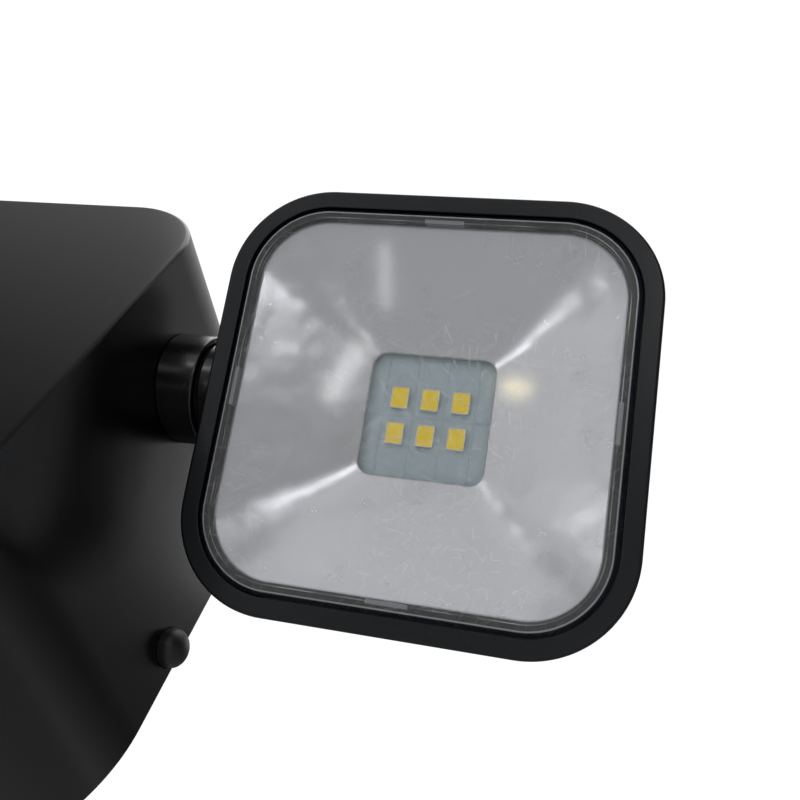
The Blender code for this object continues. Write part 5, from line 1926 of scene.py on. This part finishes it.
    def build(self) -> None:
        """Make the head's pieces and dress what is inside."""
        label, place = self.side.label, self.place
        coating = ReflectorCoating(f"{label}_coating", "reflector_coating", place)
        mask = LedBoard(f"{label}_led_mask", "led_board", place)
        ceramic = Ceramic(f"{label}_ceramic", "led_package", place)
        phosphor = Phosphor(f"{label}_phosphor", "led_package", place)
        clear = ClearLens(f"{label}_clear_lens", "clear_lens", place)
        leds = [f"led_{n}" for n in range(1, LED_COUNT + 1)]
        bowl = self.band("reflector", self.bowl_section, self.bowl_corner())
        pieces = (
            ("bezel_ring", self.band("bezel", self.bezel_section), BEZEL_PLASTIC, ["bezel"]),
            ("cup", self.cup(), BLACK_PLASTIC, ["rear_shell"]),
            ("lens_seal", self.band("lens_seal", self.seal_section), SEAL_RUBBER, ["lens_gasket"]),
            ("reflector_bowl", bowl, coating, ["reflector"]),
            ("led_plate", self.board(), mask, ["led_board"]),
            ("led_frames", self.packages(), ceramic, leds),
            ("led_phosphor", self.phosphors(), phosphor, []),
            ("lens_plate", self.lens(), clear, ["lens"]),
        )
        for name, mesh, finish, nodes in pieces:
            add_piece(f"{label}_{name}", mesh, finish, f"{label}_head", [f"{label}_{node}" for node in nodes])
        dress(TRAY_PLASTIC, [f"{label}_pivot_tube"])
        dress(STEEL, [f"{label}_pivot_nut"])
        dress(ALUMINIUM, [f"{label}_heat_spreader"])


# ---------------------------------------------------------------------------------------------- studio


@dataclass(frozen=True)
class Softbox:
    """A rectangular lamp that faces a point."""

    name: str
    position: Point
    target: Point
    size: tuple[float, float]
    radiance: float
    colour: Colour = (1.0, 1.0, 1.0)
    roll: float = 0.0

    def build(self) -> None:
        """Place the lamp. Its power is four times its radiance times its area."""
        lamp = bpy.data.lights.new(self.name, "AREA")
        lamp.shape = "RECTANGLE"
        lamp.size, lamp.size_y = self.size
        lamp.energy = self.radiance * 4 * self.size[0] * self.size[1]
        lamp.color = self.colour
        made = in_scene(self.name, lamp)
        made.location = self.position
        aim = Vector(self.target) - Vector(self.position)
        turn = aim.to_track_quat("-Z", "Y").to_matrix() @ Matrix.Rotation(self.roll, 3, "Z")
        made.rotation_euler = turn.to_euler()
        made.visible_camera = False


@dataclass
class Studio:
    """Floor, lamps, surroundings and camera."""

    floor_z: float = -1.0
    floor_half: float = 9.0
    floor_points: tuple[int, int] = (9, 33)
    lens: float = 39.53
    sensor: float = 36.0
    clip: tuple[float, float] = (0.005, 50.0)
    camera_at: Point = (0.1898, -0.1864, -0.125)
    camera_axes: tuple[Point, Point, Point] = (
        (0.9667, 0.0696, 0.2463),
        (-0.0955, -0.7947, 0.5994),
        (0.2375, -0.6029, -0.7616),
    )
    backdrop: float = 1.05
    sky: tuple[tuple[float, Colour], ...] = (
        (0.0, (0.4, 0.4, 0.41)),
        (0.48, (0.42, 0.42, 0.43)),
        (0.56, (0.2, 0.2, 0.21)),
        (0.66, (0.07, 0.07, 0.075)),
        (0.8, (0.17, 0.17, 0.175)),
        (0.88, (0.46, 0.46, 0.47)),
        (1.0, (0.7, 0.7, 0.7)),
    )
    head: Point = (0.148, -0.07, 0.03)
    lamps: tuple[Softbox, ...] = (
        Softbox("front_box", (-0.1, -1.5, 0.25), (0.1, 0.0, 0.0), (1.3, 0.8), 0.68),
        Softbox("left_box", (-0.7, -0.9, -0.15), head, (0.5, 0.5), 0.6),
        Softbox("top_box", (0.0, -0.35, 1.3), (0.0, -0.1, 0.0), (1.2, 1.2), 1.5),
        Softbox("back_box", (0.57, 0.9, 1.03), (0.09, -0.02, 0.06), (0.45, 0.45), 2.6),
        Softbox("lower_left_fan", (0.42, -1.23, -0.23), (0.122, -0.048, 0.005), (0.1, 0.32), 8.0, roll=-0.636),
        Softbox("upper_right_fan", (-0.512, -0.733, -0.506), (0.174, -0.08, 0.046), (0.26, 0.09), 8.0),
        Softbox("upper_left_fan", (0.327, -0.734, -0.696), head, (0.08, 0.1), 4.5),
        Softbox("lower_right_fan", (-0.433, -1.004, 0.06), head, (0.08, 0.1), 7.0),
        Softbox("tall_streak", (-0.129, -1.017, -0.214), (0.136, -0.088, 0.044), (0.013, 0.085), 2.8),
        Softbox("warm_glow", (0.059, -0.994, -0.351), (0.169, -0.074, 0.025), (0.035, 0.02), 6.5, (1.0, 0.86, 0.45)),
        Softbox("leaning_streak", (-0.17, -0.957, -0.336), (0.131, -0.074, 0.025), (0.026, 0.09), 4.0, roll=-0.6),
    )

    def floor(self) -> None:
        """A flat pale floor well below the light."""
        rows, columns = self.floor_points
        x, y = self.floor_half * np.stack(
            np.meshgrid(np.linspace(-1, 1, rows), np.linspace(-1, 1, columns), indexing="ij")
        )
        sheet = Surface.skin(np.stack([x, y, np.full_like(x, self.floor_z)], -1), around=False, capped=False)
        made = sheet.mesh("floor")
        made.materials.append(PaleFloor("pale_floor", "").material)
        in_scene("studio_floor", made)

    def surroundings(self) -> None:
        """White behind the light; for reflections, dim above and paler towards the horizon and below."""
        world = bpy.data.worlds.new("studio")
        bpy.context.scene.world = world
        world.use_nodes = True
        bench = Bench(world.node_tree)
        _, _, up = bench.parts(bench.node("ShaderNodeTexCoord").outputs["Generated"])
        ramp = bench.node("ShaderNodeValToRGB", {"stops": self.sky}, {0: up * 0.5 + 0.5})
        dim = bench.node("ShaderNodeBackground", sockets={"Color": ramp.outputs[0]}).outputs[0]
        white = bench.node("ShaderNodeBackground", sockets={"Color": (1.0, 1.0, 1.0), "Strength": self.backdrop})
        bench.node("ShaderNodeOutputWorld", sockets={"Surface": bench.blend(bench.seen(), dim, white.outputs[0])})

    def camera(self) -> None:
        """The camera, below the right lamp head and close to it."""
        eye = bpy.data.cameras.new("camera")
        eye.lens, eye.sensor_width = self.lens, self.sensor
        eye.clip_start, eye.clip_end = self.clip
        made = in_scene("camera", eye)
        turn = Matrix(self.camera_axes).transposed().to_4x4()
        made.matrix_world = Matrix.Translation(self.camera_at) @ turn
        bpy.context.scene.camera = made

    def build(self) -> None:
        """Set up the studio."""
        bpy.context.scene.view_settings.view_transform = "Standard"
        self.floor()
        self.surroundings()
        self.camera()
        for lamp in self.lamps:
            lamp.build()


def main() -> None:
    """Build every sub-assembly in order."""
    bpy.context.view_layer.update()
    for assembly in (Studio(), Housing(), SolarPanel(), MotionSensor(), Electronics(), ModeButton()):
        assembly.build()
    for side in Side:
        TiltCollar(side).build()
        LampHead(side).build()


if __name__ == "__main__":
    logging.basicConfig(level=logging.INFO, format="%(message)s")
    main()
